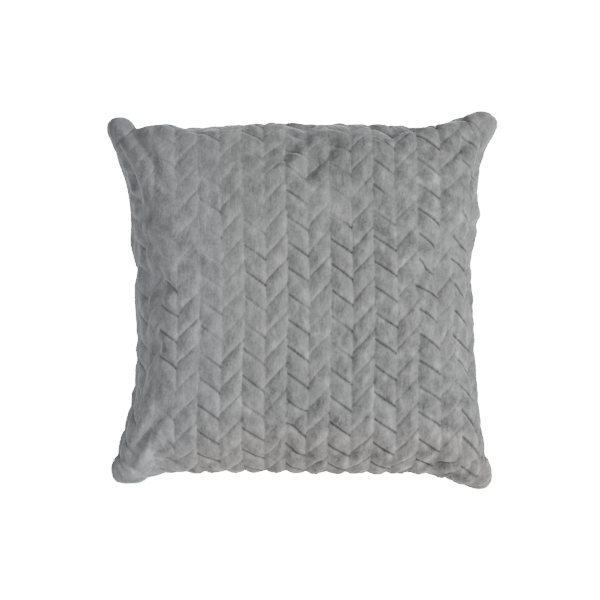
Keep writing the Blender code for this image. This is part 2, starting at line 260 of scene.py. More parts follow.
@dataclass(frozen=True)
class PlushFinish:
    """Short grey pile, pressed into embossed grooves and marked by brushing, with painted shade
    along the grooves, painted highlights on the pads' rims and in patches, and painted sheen on the
    pads' edges.
    """

    pile: Colour = (0.262, 0.263, 0.267)
    backing: Colour = (0.2, 0.2, 0.205)
    cool: Colour = (0.93, 0.985, 1.06)
    # Painted warm reflected light, towards the zipped edge.
    painted_warm_bounce: Colour = (1.05, 1.0, 0.95)
    sheen: float = 0.75
    sheen_spread: float = 0.35
    blotch: tuple[float, float] = (62.0, 74.0)
    stroke: tuple[float, float] = (12.0, 19.0)
    streak: tuple[float, float] = (2.2, 9.0)
    tuft: tuple[float, float] = (1.7, 2.6)

    @staticmethod
    def marks(
        graph: FinishGraph, size: tuple[float, float], detail: float, roughness: float
    ) -> Value:
        """Soft random marks of a size across and along the flat cut, in millimetres."""
        cut = graph.attribute("cut").outputs["Vector"]
        across, along = size
        return graph.noise(graph.stretched(cut, 1 / across, 1 / along, 1.0), 1.0, detail, roughness)

    def build(self) -> bpy.types.Material:
        """Makes the material."""
        uniform = {"Roughness": 0.92, "Specular IOR Level": 0.15}
        uniform |= {"Sheen Weight": self.sheen, "Sheen Roughness": self.sheen_spread}
        uniform |= {"Sheen Tint": (0.95, 0.97, 1.0, 1.0)}
        graph = FinishGraph("plush", uniform)
        cut = graph.attribute("cut").outputs["Vector"]
        groove = graph.fac("groove")
        tile = graph.fac("tile")
        lean = graph.fac("lean")
        rise = graph.fac("rise")
        blotch = self.marks(graph, self.blotch, 3.0, 0.55)
        stroke = self.marks(graph, self.stroke, 4.0, 0.66)
        streak = self.marks(graph, self.streak, 2.0, 0.6)
        tuft = self.marks(graph, self.tuft, 2.0, 0.65)
        across, along, _ = graph.parts(cut)
        right = graph.ease(across, -170.0, 170.0)
        near = 1.0 - graph.ease(along, -190.0, -70.0)
        far = graph.ease(along, 60.0, 200.0)
        backwards = 0.5 - 0.5 * lean
        light = 1.0 + 0.45 * (blotch - 0.5) + (1.3 + 0.6 * right + 0.55 * near) * (stroke - 0.5)
        light = light + 0.3 * (streak - 0.5) + 0.7 * (tuft - 0.5) + 0.16 * (tile - 0.5)
        # Painted sheen: lighter where the pads fall away to their edges, darker on their tops.
        light = light + 0.3 * (0.55 - rise)
        # Painted highlight: bright patches of pile catching the light, stronger towards the right.
        light = light + (0.15 + 0.38 * right) * graph.ease(stroke + 0.5 * blotch, 0.8, 1.05)
        # Painted highlight: a bright band along the pads just past the backward-leaning grooves,
        # towards the right.
        light = light * (1.0 + 0.16 * right * backwards * graph.fac("rim"))
        # Painted shade: the colour is darkened along the embossed grooves, most on the
        # backward-leaning columns.
        painted_groove_shade = (
            (0.45 + 0.1 * right) * backwards
            + (0.02 + (0.16 + 0.14 * near) * right) * (1.0 - backwards)
        )
        # Painted shade too: the colour is darkened towards the right and the far edge.
        light = light * (1.0 - painted_groove_shade * groove) * (1.03 - 0.18 * right - 0.05 * far)
        # Painted reflected light: a warm tint towards the zipped edge. Towards the left the colour
        # turns cooler.
        tint = graph.mixed(graph.ease(along, -215.0, -120.0), self.painted_warm_bounce, (1.0, 1.0, 1.0))
        tint = graph.mixed(graph.ease(across, -60.0, -210.0) * 0.6, tint, self.cool)
        pile = graph.node(
            "ShaderNodeVectorMath", {"operation": "MULTIPLY"}, {0: tint, 1: self.pile}
        ).outputs[0]
        outside = graph.ease(graph.fac("outer"), 0.05, 0.3)
        graph.feed_shader(
            "Base Color", graph.dimmed(graph.mixed(outside, self.backing, pile), light)
        )
        graph.feed_shader("Roughness", 0.86 + 0.1 * tuft)
        graph.bump(0.6 * tuft + 0.5 * streak, 0.9 * MM, 0.9)
        return graph.material


@dataclass(frozen=True)
class ThreadFinish:
    """Spun thread lying in close parallel turns."""

    name: str
    colour: Colour
    turn: float = 1.1 * MM

    def build(self) -> bpy.types.Material:
        """Makes the material."""
        graph = FinishGraph(
            self.name, {"Roughness": 0.8, "Specular IOR Level": 0.25, "Sheen Weight": 0.2}
        )
        x, y, z = graph.parts(graph.place())
        wave = graph.math("SINE", (x + y + 0.35 * z) * (2 * math.pi / self.turn))
        fibre = graph.noise(graph.place(), 2600.0, 3.0, 0.6)
        light = 0.86 + 0.16 * wave + 0.35 * (fibre - 0.5)
        graph.feed_shader("Base Color", graph.dimmed(self.colour, light))
        graph.bump(wave * 0.5 + fibre * 0.4, 0.25 * MM)
        return graph.material


@dataclass(frozen=True)
class WovenFinish:
    """Cloth woven of warp and weft threads, such as a zip's tape or a satin label."""

    name: str
    colour: Colour
    thread: float
    roughness: float
    sheen: float = 0.1

    def build(self) -> bpy.types.Material:
        """Makes the material."""
        uniform = {
            "Roughness": self.roughness, "Specular IOR Level": 0.3, "Sheen Weight": self.sheen
        }
        graph = FinishGraph(self.name, uniform)
        x, y, z = graph.parts(graph.place())
        turn = 2 * math.pi / self.thread
        warp = graph.math("SINE", x * turn)
        weft = graph.math("SINE", (y + z) * turn)
        weave = graph.greatest(warp * 0.5 + 0.5, weft * 0.5 + 0.5)
        wear = graph.noise(graph.place(), 180.0, 3.0, 0.6)
        light = 0.72 + 0.3 * weave + 0.3 * (wear - 0.5)
        graph.feed_shader("Base Color", graph.dimmed(self.colour, light))
        graph.feed_shader("Roughness", self.roughness + 0.12 * (wear - 0.5))
        graph.bump(weave, 0.12 * MM)
        return graph.material


@dataclass(frozen=True)
class NylonFinish:
    """Moulded monofilament, with fine draw lines."""

    colour: Colour = (0.2, 0.2, 0.205)

    def build(self) -> bpy.types.Material:
        """Makes the material."""
        graph = FinishGraph("zip coil", {"Roughness": 0.42, "Specular IOR Level": 0.45})
        lines = graph.noise(graph.stretched(graph.place(), 3000.0, 900.0, 900.0), 1.0, 2.0)
        cloud = graph.noise(graph.place(), 140.0, 2.0)
        colour = graph.mixed(
            cloud, tuple(0.85 * c for c in self.colour), tuple(1.2 * c for c in self.colour)
        )
        graph.feed_shader("Base Color", colour)
        graph.feed_shader("Roughness", 0.34 + 0.18 * lines)
        graph.bump(lines, 0.03 * MM)
        return graph.material


@dataclass(frozen=True)
class ZincFinish:
    """Nickel-plated zinc alloy, tumbled smooth and rubbed a little by use."""

    colour: Colour = (0.55, 0.55, 0.56)

    def build(self) -> bpy.types.Material:
        """Makes the material."""
        graph = FinishGraph("zinc alloy", {"Roughness": 0.32, "Metallic": 1.0})
        rub = graph.noise(graph.stretched(graph.place(), 500.0, 1500.0, 1500.0), 1.0, 3.0, 0.6)
        cloud = graph.noise(graph.place(), 260.0, 3.0)
        colour = graph.mixed(
            cloud, tuple(0.82 * c for c in self.colour), tuple(1.1 * c for c in self.colour)
        )
        graph.feed_shader("Base Color", colour)
        graph.feed_shader("Roughness", 0.24 + 0.2 * rub)
        graph.bump(rub, 0.02 * MM)
        return graph.material


@dataclass(frozen=True)
class NonwovenFinish:
    """Spun-bonded white cloth, pressed with a close grid of small points."""

    colour: Colour = (0.82, 0.82, 0.81)
    point: float = 1.6

    def build(self) -> bpy.types.Material:
        """Makes the material."""
        graph = FinishGraph("nonwoven", {"Roughness": 0.85, "Specular IOR Level": 0.2})
        across, along, _ = graph.parts(graph.attribute("cut").outputs["Vector"])
        turn = 2 * math.pi / self.point
        dots = graph.math("SINE", across * turn) * graph.math("SINE", along * turn)
        press = graph.ease(dots, 0.35, 0.75)
        strand = graph.noise(graph.place(), 900.0, 4.0, 0.7)
        light = 0.9 + 0.22 * (strand - 0.5) - 0.12 * press
        graph.feed_shader("Base Color", graph.dimmed(self.colour, light))
        graph.bump(strand * 0.5 - press, 0.15 * MM)
        return graph.material


@dataclass(frozen=True)
class FibreFinish:
    """Loose curled polyester fibre in soft clumps."""

    colour: Colour = (0.9, 0.9, 0.89)

    def build(self) -> bpy.types.Material:
        """Makes the material."""
        graph = FinishGraph(
            "fibre", {"Roughness": 0.95, "Sheen Weight": 0.3, "Sheen Roughness": 0.6}
        )
        clump = graph.noise(graph.place(), 70.0, 4.0, 0.6)
        curl = graph.noise(graph.place(), 700.0, 4.0, 0.75)
        light = 0.82 + 0.3 * (clump - 0.5) + 0.3 * (curl - 0.5)
        graph.feed_shader("Base Color", graph.dimmed(self.colour, light))
        graph.bump(clump + 0.6 * curl, 2.0 * MM)
        return graph.material


# The cloth's form.


def smooth_step(value: Array, start: float, end: float) -> Array:
    """0 before start, 1 after end, and a smooth climb between them."""
    share = np.clip((value - start) / (end - start), 0.0, 1.0)
    return share * share * (3 - 2 * share)


@dataclass(frozen=True)
class PillowForm:
    """The outline and crown of the filled cover, in millimetres, as the frame has them."""

    top_half_width: float = 223.0
    bottom_half_width: float = 214.0
    left_half_height: float = 210.0
    right_half_height: float = 215.0
    left_pull_in: float = 35.0
    right_pull_in: float = 27.0
    top_pull_in: float = 15.0
    bottom_pull_in: float = 20.0
    corner_rounding: float = 16.0
    corner_tightness: float = 20.0
    crown: float = 72.0
    fullness_across: float = 2.7
    fullness_along: float = 2.9
    seam_height: float = 60.0
    half_gap: float = 0.15
    half_zip_mouth: float = 4.25
    half_mouth_length: float = 140.0
    mouth_taper: float = 12.0
    landing: float = 5.0

    @staticmethod
    def side_line(
        share: Array, pulled_in: float, low: float, high: float, straight: float, power: float
    ) -> Array:
        """How far a side lies from the centre line, from its pulled-in middle to its corners."""
        corner = np.where(share > 0, high, low)
        middle = (low + high) / 2 - pulled_in
        climb = np.maximum((np.abs(share) - straight) / (1 - straight), 0.0) ** power
        return middle + (corner - middle) * climb

    def outline(self, p: Array, q: Array, inset: float) -> tuple[Array, Array]:
        """The place in the plan of the shares (p, q), drawn in from the seam by inset."""
        low, high = self.bottom_half_width, self.top_half_width
        left = -self.side_line(q, self.left_pull_in, low, high, 0.0, 2.4)
        right = self.side_line(q, self.right_pull_in, low, high, 0.25, 2.0)
        low, high = self.left_half_height, self.right_half_height
        straight = (self.half_mouth_length + self.mouth_taper) / self.bottom_half_width
        top = self.side_line(p, self.top_pull_in, low, high, 0.5, 2.0)
        bottom = -self.side_line(p, self.bottom_pull_in, low, high, straight, 1.3)
        rounding = (
            self.corner_rounding * (1 - math.sqrt(0.5)) * np.abs(p * q) ** self.corner_tightness
        )
        x = left + (right - left) * (1 + p) / 2 - np.copysign(rounding, p) - inset * p
        y = bottom + (top - bottom) * (1 + q) / 2 - np.copysign(rounding, q) - inset * q
        return x, y

    def mouth(self, p: Array, q: Array) -> Array:
        """Half the height at which the two panels stand apart, at the seam or at the zip."""
        x = np.abs(p) * self.bottom_half_width
        opened = (
            1 - smooth_step(x, self.half_mouth_length, self.half_mouth_length + self.mouth_taper)
        )
        return self.half_gap + (self.half_zip_mouth - self.half_gap) * opened * np.maximum(-q, 0.0)

    def swell(self, p: Array, q: Array, crown: float) -> Array:
        """Height of the filling's own dome."""
        across = np.maximum(1 - np.abs(p) ** self.fullness_across, 0.0) ** (
            1 / self.fullness_across
        )
        along = np.maximum(1 - np.abs(q) ** self.fullness_along, 0.0) ** (1 / self.fullness_along)
        return crown * across * along

    def place(
        self, p: Array, q: Array, side: Side, inset: float, crown: float, rim: Array, floor: float
    ) -> Array:
        """Points of a shell at the shares (p, q).

        Args:
            p: shares across the width.
            q: shares from the zipped edge to the far one.
            side: which way the shell faces.
            inset: how far its edge lies inside the seam.
            crown: its height off the seam plane in the middle.
            rim: its height off the seam plane at the edge.
            floor: how low a back shell may reach.

        Returns:
            The points, one row of three for each pair of shares.
        """
        x, y = self.outline(p, q, inset)
        swell = self.swell(p, q, crown)
        height = np.hypot(swell, rim * (1 - swell / crown))
        z = self.seam_height + side.value * height
        if side is Side.BACK:
            z = floor + softened(z - floor, self.landing)
        return np.stack([x, y, z], axis=-1)


def softened(height: Array, blend: float) -> Array:
    """The height kept above 0, with a rounded turn of this size where it lands."""
    return (
        0.5 * (height + np.sqrt(height * height + blend * blend))
        - 0.5 * blend * np.exp(-np.abs(height) / blend)
    )


@dataclass(frozen=True)
class Ear:
    """A corner of the cover where the filling stops short: a soft knob with a pinched neck."""

    right: int
    far: int
    inset: tuple[float, float]
    radius: float
    lift: float
    neck: float
    blunt: tuple[float, float]
    plain: float
    neck_width: float = 7.0


@dataclass(frozen=True)
class Fold:
    """A crease in the cloth from one place to another in its flat cut, in millimetres."""

    start: tuple[float, float]
    end: tuple[float, float]
    width: float
    depth: float


class Edge(Enum):
    """A side of the pillow, by the axis that runs out of it and which way."""

    LEFT = (0, -1)
    RIGHT = (0, 1)
    ZIPPED = (1, -1)
    FAR = (1, 1)


@dataclass(frozen=True)
class Bow:
    """A place where a side of the filled cover stands out or falls in, in millimetres."""

    edge: Edge
    at: float
    width: float
    out: float


class StuffedCloth:
    """The grid of the cover's cloth, blown up by its filling, and the shells drawn over it."""

    COUNT = 60
    FRAMES = 22
    PRESSURE = 4.0
    MOST_MOVE = 9.0
    BROAD_REACH = 5
    BOWS = (
        Bow(Edge.LEFT, -102.0, 66.0, -4.3),
        Bow(Edge.LEFT, 62.0, 46.0, 4.8),
        Bow(Edge.LEFT, 176.0, 22.0, 2.5),
        Bow(Edge.RIGHT, 104.0, 32.0, 9.5),
        Bow(Edge.RIGHT, -100.0, 64.0, 4.5),
        Bow(Edge.FAR, -178.0, 15.0, -10.5),
        Bow(Edge.FAR, -108.0, 20.0, -1.5),
        Bow(Edge.FAR, 158.0, 15.0, -3.5),
        Bow(Edge.ZIPPED, -50.0, 60.0, -2.0),
        Bow(Edge.ZIPPED, -182.0, 20.0, 6.0),
        Bow(Edge.ZIPPED, 176.0, 24.0, 6.5),
    )
    BOW_DEPTH = 62.0
    LANES = 41
    LANE_STEPS = 2001
    EVENING_ROUNDS = 8
    HALF_ZIP = 150.0
    CALM_BY_ZIP = 4.0
    LOOSE_FROM_ZIP = 42.0
    LANDING = 2.0

    def __init__(self, form: PillowForm) -> None:
        """Lays the flat cut evenly over the filled form, then lets it settle."""
        self.form = form
        self.flat = np.linspace(-1.0, 1.0, self.COUNT + 1)
        self.p, self.q = self.even_shares()
        middle = self.COUNT // 2
        face = self.start(Side.FRONT)
        self.cut_across = float(np.linalg.norm(np.diff(face[middle], axis=0), axis=1).sum()) / 2
        self.cut_along = float(np.linalg.norm(np.diff(face[:, middle], axis=0), axis=1).sum()) / 2
        LOG.info("flat cut %.0f x %.0f mm", 2 * self.cut_across, 2 * self.cut_along)
        self.settled = {side: np.zeros((*self.p.shape, 3)) for side in Side}
        self.settle()

    def start(self, side: Side) -> Array:
        """The cover's own face before it settles."""
        rim = self.form.mouth(self.p, self.q)
        return self.form.place(self.p, self.q, side, 0.0, self.form.crown, rim, 0.0)

    def even_shares(self) -> tuple[Array, Array]:
        """The shares at which an even grid of flat cloth lies once it is filled."""
        lanes = np.sin(np.linspace(-math.pi / 2, math.pi / 2, self.LANES))
        across_table = self.even_lanes(lanes, True)
        along_table = self.even_lanes(lanes, False)
        p, q = np.meshgrid(self.flat, self.flat)
        for _ in range(self.EVENING_ROUNDS):
            p = np.stack(
                [np.interp(q[:, i], lanes, across_table[:, i]) for i in range(len(self.flat))],
                axis=1,
            )
            q = np.stack(
                [np.interp(p[j], lanes, along_table[:, j]) for j in range(len(self.flat))], axis=0
            )
        return np.clip(p, -1, 1), np.clip(q, -1, 1)

    def even_lanes(self, lanes: Array, across: bool) -> Array:
        """Shares at even lengths along curves across the form, one curve for each lane."""
        turn = np.linspace(-1.0, 1.0, self.LANE_STEPS)
        fine = np.sign(turn) * (1 - (1 - np.abs(turn)) ** 3)
        table = []
        for lane in lanes:
            held = np.full_like(fine, lane)
            p, q = (fine, held) if across else (held, fine)
            points = self.form.place(p, q, Side.FRONT, 0.0, self.form.crown, np.zeros_like(p), 0.0)
            length = np.concatenate(
                [[0.0], np.cumsum(np.linalg.norm(np.diff(points, axis=0), axis=1))]
            )
            table.append(np.interp((self.flat + 1) / 2 * length[-1], length, fine))
        return np.array(table)

    def settle(self) -> None:
        """Blows the closed cover up by its filling's pressure and keeps the folds."""
        size = self.COUNT + 1
        index = np.arange(size * size).reshape(size, size)
        edge = np.zeros((size, size), bool)
        edge[0] = edge[-1] = edge[:, 0] = edge[:, -1] = True
        under = index.copy()
        under[~edge] = size * size + np.arange((~edge).sum())
        top, base = self.start(Side.FRONT), self.start(Side.BACK)
        base[..., 2] = np.minimum(base[..., 2], 2 * self.form.seam_height - top[..., 2])
        top[edge, 2] = base[edge, 2] = self.form.seam_height
        points = np.concatenate([top.reshape(-1, 3), base[~edge]])
        upper = np.stack(
            [index[:-1, :-1], index[:-1, 1:], index[1:, 1:], index[1:, :-1]], -1
        ).reshape(-1, 4)
        lower = np.stack(
            [under[:-1, :-1], under[1:, :-1], under[1:, 1:], under[:-1, 1:]], -1
        ).reshape(-1, 4)
        cover = mesh_object("settling_cover", points, np.concatenate([upper, lower]))
        cloth = cover.modifiers.new("Cloth", "CLOTH")
        soft = cloth.settings
        soft.quality = 6
        soft.mass = 0.15
        soft.tension_stiffness = soft.compression_stiffness = 40
        soft.shear_stiffness = 8
        soft.bending_stiffness = 1.5
        soft.air_damping = 2
        soft.use_pressure = True
        soft.uniform_pressure_force = self.PRESSURE
        soft.effector_weights.gravity = 0
        cloth.point_cache.frame_start = 1
        cloth.point_cache.frame_end = self.FRAMES
        for step in range(1, self.FRAMES + 1):
            bpy.context.scene.frame_set(step)
        evaluated = cover.evaluated_get(bpy.context.evaluated_depsgraph_get())
        moved = np.empty(len(points) * 3, np.float32)
        evaluated.data.vertices.foreach_get("co", moved)
        moved = moved.reshape(-1, 3).astype(float) / MM - points
        bpy.context.scene.frame_set(1)
        bpy.data.objects.remove(cover, do_unlink=True)
        self.settled[Side.FRONT] = self.folds_only(moved[index])
        self.settled[Side.BACK] = self.folds_only(moved[under])

    def folds_only(self, moved: Array) -> Array:
        """The folds in a movement, without its broad swelling, capped and kept off the zip."""
        folds = moved - self.broadly(moved)
        length = np.linalg.norm(folds, axis=2, keepdims=True) + 1e-9
        folds *= self.MOST_MOVE * np.tanh(length / self.MOST_MOVE) / length
        from_zip = np.hypot(
            np.maximum(np.abs(self.flat[None, :]) * self.cut_across - self.HALF_ZIP, 0.0),
            (self.flat[:, None] + 1) * self.cut_along,
        )
        return folds * smooth_step(from_zip, self.CALM_BY_ZIP, self.LOOSE_FROM_ZIP)[..., None]

    def broadly(self, moved: Array) -> Array:
        """The movement evened out over its neighbours, with each edge's own movement kept whole."""
        size = len(moved)
        pad = 3 * self.BROAD_REACH
        kernel = np.exp(-0.5 * (np.arange(-pad, pad + 1) / self.BROAD_REACH) ** 2)
        for axis in (0, 1):
            moved = np.moveaxis(moved, axis, 0)
            before, after = (
                2 * moved[0] - moved[pad:0:-1], 2 * moved[-1] - moved[-2 : -pad - 2 : -1]
            )
            longer = np.concatenate([before, moved, after])
            moved = sum(
                share * longer[i : i + size] for i, share in enumerate(kernel / kernel.sum())
            )
            moved = np.moveaxis(moved, 0, axis)
        return moved

    def shell(
        self, side: Side, inset: float, crown: float, rim: float | None, floor: float, count: int
    ) -> Array:
        """A face of a shell over the settled cloth, as a grid of points.

        Args:
            side: which way it faces.
            inset: how far its edge lies inside the seam.
            crown: its height off the seam plane in the middle.
            rim: its height off the seam plane at the edge, or None for the cover's own mouth.
            floor: how low it may reach.
            count: cells each way.

        Returns:
            The points, in millimetres, as a square grid.
        """
        rims = self.form.mouth(self.p, self.q) if rim is None else np.full(self.p.shape, rim)
        points = (
            self.form.place(self.p, self.q, side, inset, crown, rims, floor)
            + self.settled[side]
            + self.bowed()
        )
        if side is Side.BACK:
            points[..., 2] = floor + softened(points[..., 2] - floor, self.LANDING)
        return self.finer(points, count)

    def bowed(self) -> Array:
        """How far the bows of the sides move each point of the grid."""
        cut = self.cut_grid(self.COUNT)
        halves = (self.cut_across, self.cut_along)
        moved = np.zeros((*self.p.shape, 3))
        for bow in self.BOWS:
            axis, way = bow.edge.value
            from_edge = halves[axis] - way * cut[axis]
            along_side = np.exp(-(((cut[1 - axis] - bow.at) / bow.width) ** 2))
            moved[..., axis] += (
                way * bow.out * along_side * np.exp(-((from_edge / self.BOW_DEPTH) ** 2))
            )
        return moved

    def finer(self, grid: Array, count: int) -> Array:
        """A smooth grid of more or fewer cells through the same cloth."""
        weights = self.weights(count)
        return np.einsum("ai,bj,ijk->abk", weights, weights, grid)

    def weights(self, count: int) -> Array:
        """Share of each coarse station in each fine one, for a smooth curve through them."""
        size = self.COUNT + 1
        place = np.linspace(0.0, self.COUNT, count + 1)
        low = np.minimum(place.astype(int), self.COUNT - 1)
        t = place - low
        curve = [
            -0.5 * t + t * t - 0.5 * t**3,
            1 - 2.5 * t * t + 1.5 * t**3,
            0.5 * t + 2 * t * t - 1.5 * t**3,
            -0.5 * t * t + 0.5 * t**3,
        ]
        weights = np.zeros((count + 1, size))
        rows = np.arange(count + 1)
        for offset, share in zip((-1, 0, 1, 2), curve):
            station = low + offset
            for inside, amount in (
                ((station >= 0) & (station < size), ((0, 1.0),)),
                (station < 0, ((0, 2.0), (1, -1.0))),
                (station >= size, ((self.COUNT, 2.0), (self.COUNT - 1, -1.0))),
            ):
                for target, factor in amount:
                    columns = station if len(amount) == 1 else np.full_like(station, target)
                    np.add.at(weights, (rows[inside], columns[inside]), factor * share[inside])
        return weights

    def cut_grid(self, count: int) -> tuple[Array, Array]:
        """The flat cut's own coordinates over a grid, in millimetres."""
        flat = np.linspace(-1.0, 1.0, count + 1)
        across, along = np.meshgrid(flat * self.cut_across, flat * self.cut_along)
        return across, along


def linked(name: str, data: Any) -> bpy.types.Object:
    """A new object at the origin that holds this data, in the scene."""
    obj = bpy.data.objects.new(name, data)
    bpy.context.scene.collection.objects.link(obj)
    return obj


def joined_copy(node: str, name: str, reach: float) -> tuple[bpy.types.Mesh, bmesh.types.BMesh]:
    """A copy of a node's mesh, and that mesh open for changes.

    Args:
        node: the frame's node.
        name: the copy's name.
        reach: how far apart corners of the loose triangles may lie and still be joined.

    Returns:
        The mesh, and its open form with the triangles joined.
    """
    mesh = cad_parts[node].data.copy()
    mesh.name = name
    shape = bmesh.new()
    shape.from_mesh(mesh)
    bmesh.ops.remove_doubles(shape, verts=shape.verts, dist=reach)
    return mesh, shape


def dressed_copy(
    name: str, mesh: bpy.types.Mesh, shape: bmesh.types.BMesh, material: bpy.types.Material
) -> bpy.types.Object:
    """Closes the open form into its mesh, and gives it its material and its object."""
    shape.to_mesh(mesh)
    shape.free()
    mesh.materials.clear()
    mesh.materials.append(material)
    return linked(name, mesh)


def mesh_object(name: str, points: Array, faces: Any) -> bpy.types.Object:
    """An object at the origin made of points in millimetres and faces."""
    mesh = bpy.data.meshes.new(name)
    if isinstance(faces, np.ndarray):
        faces = [faces]
    corners = np.concatenate([np.asarray(f).reshape(-1) for f in faces])
    totals = np.concatenate([np.full(len(f), np.asarray(f).shape[1]) for f in faces])
    mesh.vertices.add(len(points))
    mesh.vertices.foreach_set("co", (np.asarray(points) * MM).astype(np.float32).reshape(-1))
    mesh.loops.add(len(corners))
    mesh.loops.foreach_set("vertex_index", corners.astype(np.int32))
    mesh.polygons.add(len(totals))
    starts = np.concatenate([[0], np.cumsum(totals)[:-1]])
    mesh.polygons.foreach_set("loop_start", starts.astype(np.int32))
    mesh.update(calc_edges=True)
    mesh.validate()
    return linked(name, mesh)


def add_attribute(obj: bpy.types.Object, name: str, values: Array) -> None:
    """Keeps a number or a vector on each point of a mesh."""
    kind = "FLOAT_VECTOR" if values.ndim == 2 else "FLOAT"
    slot = obj.data.attributes.new(name, kind, "POINT")
    slot.data.foreach_set(
        "vector" if values.ndim == 2 else "value", values.astype(np.float32).reshape(-1)
    )


def normals_of(grid: Array, side: Side) -> Array:
    """The outward direction at each point of a grid."""
    across = np.gradient(grid, axis=1)
    along = np.gradient(grid, axis=0)
    normal = np.cross(across, along) * side.value
    return normal / (np.linalg.norm(normal, axis=2, keepdims=True) + 1e-9)


def rim_order(count: int) -> Array:
    """Indices of a square grid's edge points, once round, anticlockwise."""
    size = count + 1
    index = np.arange(size * size).reshape(size, size)
    return np.concatenate([index[0, :-1], index[:-1, -1], index[-1, :0:-1], index[:0:-1, 0]])


def grid_faces(count: int, start: int, upwards: bool) -> Array:
    """The quads of a square grid of points."""
    size = count + 1
    index = start + np.arange(size * size).reshape(size, size)
    quads = np.stack(
        [index[:-1, :-1], index[:-1, 1:], index[1:, 1:], index[1:, :-1]], axis=-1
    ).reshape(-1, 4)
    return quads if upwards else quads[:, ::-1]


def fan_faces(fine: Array, coarse: Array, upwards: bool) -> Array:
    """Triangles that join a fine ring to a coarse one round it."""
    step = len(fine) // len(coarse)
    faces = []
    for k, near in enumerate(coarse):
        far = coarse[(k + 1) % len(coarse)]
        run = [fine[(k * step + i) % len(fine)] for i in range(step + 1)]
        middle = (step + 1) // 2
        for i in range(step):
            faces.append((run[i + 1], run[i], near if i < middle else far))
        faces.append((near, far, run[middle]))
    faces = np.array(faces)
    return faces if upwards else faces[:, ::-1]


def ring_faces(low: Array, high: Array, upwards: bool) -> Array:
    """Quads between two rings of the same count."""
    quads = np.stack([low, np.roll(low, -1), np.roll(high, -1), high], axis=-1)
    return quads if upwards else quads[:, ::-1]


class NodeShape:
    """A geometry nodes tree with named inputs, run once over an object."""

    def __init__(self, name: str) -> None:
        """Starts an empty tree that takes and gives geometry."""
        self.tree = bpy.data.node_groups.new(name, "GeometryNodeTree")
        self.graph = Graph(self.tree)
        self.inlet = self.graph.node("NodeGroupInput")
        self.outlet = self.graph.node("NodeGroupOutput")
        self.tree.interface.new_socket(
            name="Geometry", in_out="OUTPUT", socket_type="NodeSocketGeometry"
        )
        self.sockets: dict[str, tuple[str, Any]] = {}
        self.add_input("Geometry", "NodeSocketGeometry", None)

    def add_input(self, name: str, kind: str, value: Any) -> None:
        """Adds a named input with the value that it will be given."""
        socket = self.tree.interface.new_socket(name=name, in_out="INPUT", socket_type=kind)
        self.sockets[name] = (socket.identifier, value)

    def size(self, name: str, value: float) -> Value:
        """Adds a number input and wraps it."""
        self.add_input(name, "NodeSocketFloat", value)
        return Value(self.graph, self.inlet.outputs[name])

    def finish(self, geometry: Any, material: bpy.types.Material) -> None:
        """Ends the tree in Realize Instances and Set Material."""
        self.add_input("Material", "NodeSocketMaterial", material)
        real = self.graph.node("GeometryNodeRealizeInstances", None, {"Geometry": geometry})
        values = {"Geometry": real.outputs[0], "Material": self.inlet.outputs["Material"]}
        dressed = self.graph.node("GeometryNodeSetMaterial", None, values)
        self.graph.feed(self.outlet.inputs[0], dressed.outputs[0])

    def apply(self, obj: bpy.types.Object) -> bpy.types.Object:
        """Runs the tree over the object and keeps the result as its plain mesh."""
        modifier = obj.modifiers.new(self.tree.name, "NODES")
        modifier.node_group = self.tree
        for identifier, value in self.sockets.values():
            if value is not None:
                modifier[identifier] = value
        depsgraph = bpy.context.evaluated_depsgraph_get()
        evaluated = obj.evaluated_get(depsgraph)
        mesh = bpy.data.meshes.new_from_object(
            evaluated, preserve_all_data_layers=True, depsgraph=depsgraph
        )
        obj.modifiers.remove(modifier)
        obj.data = mesh
        return obj


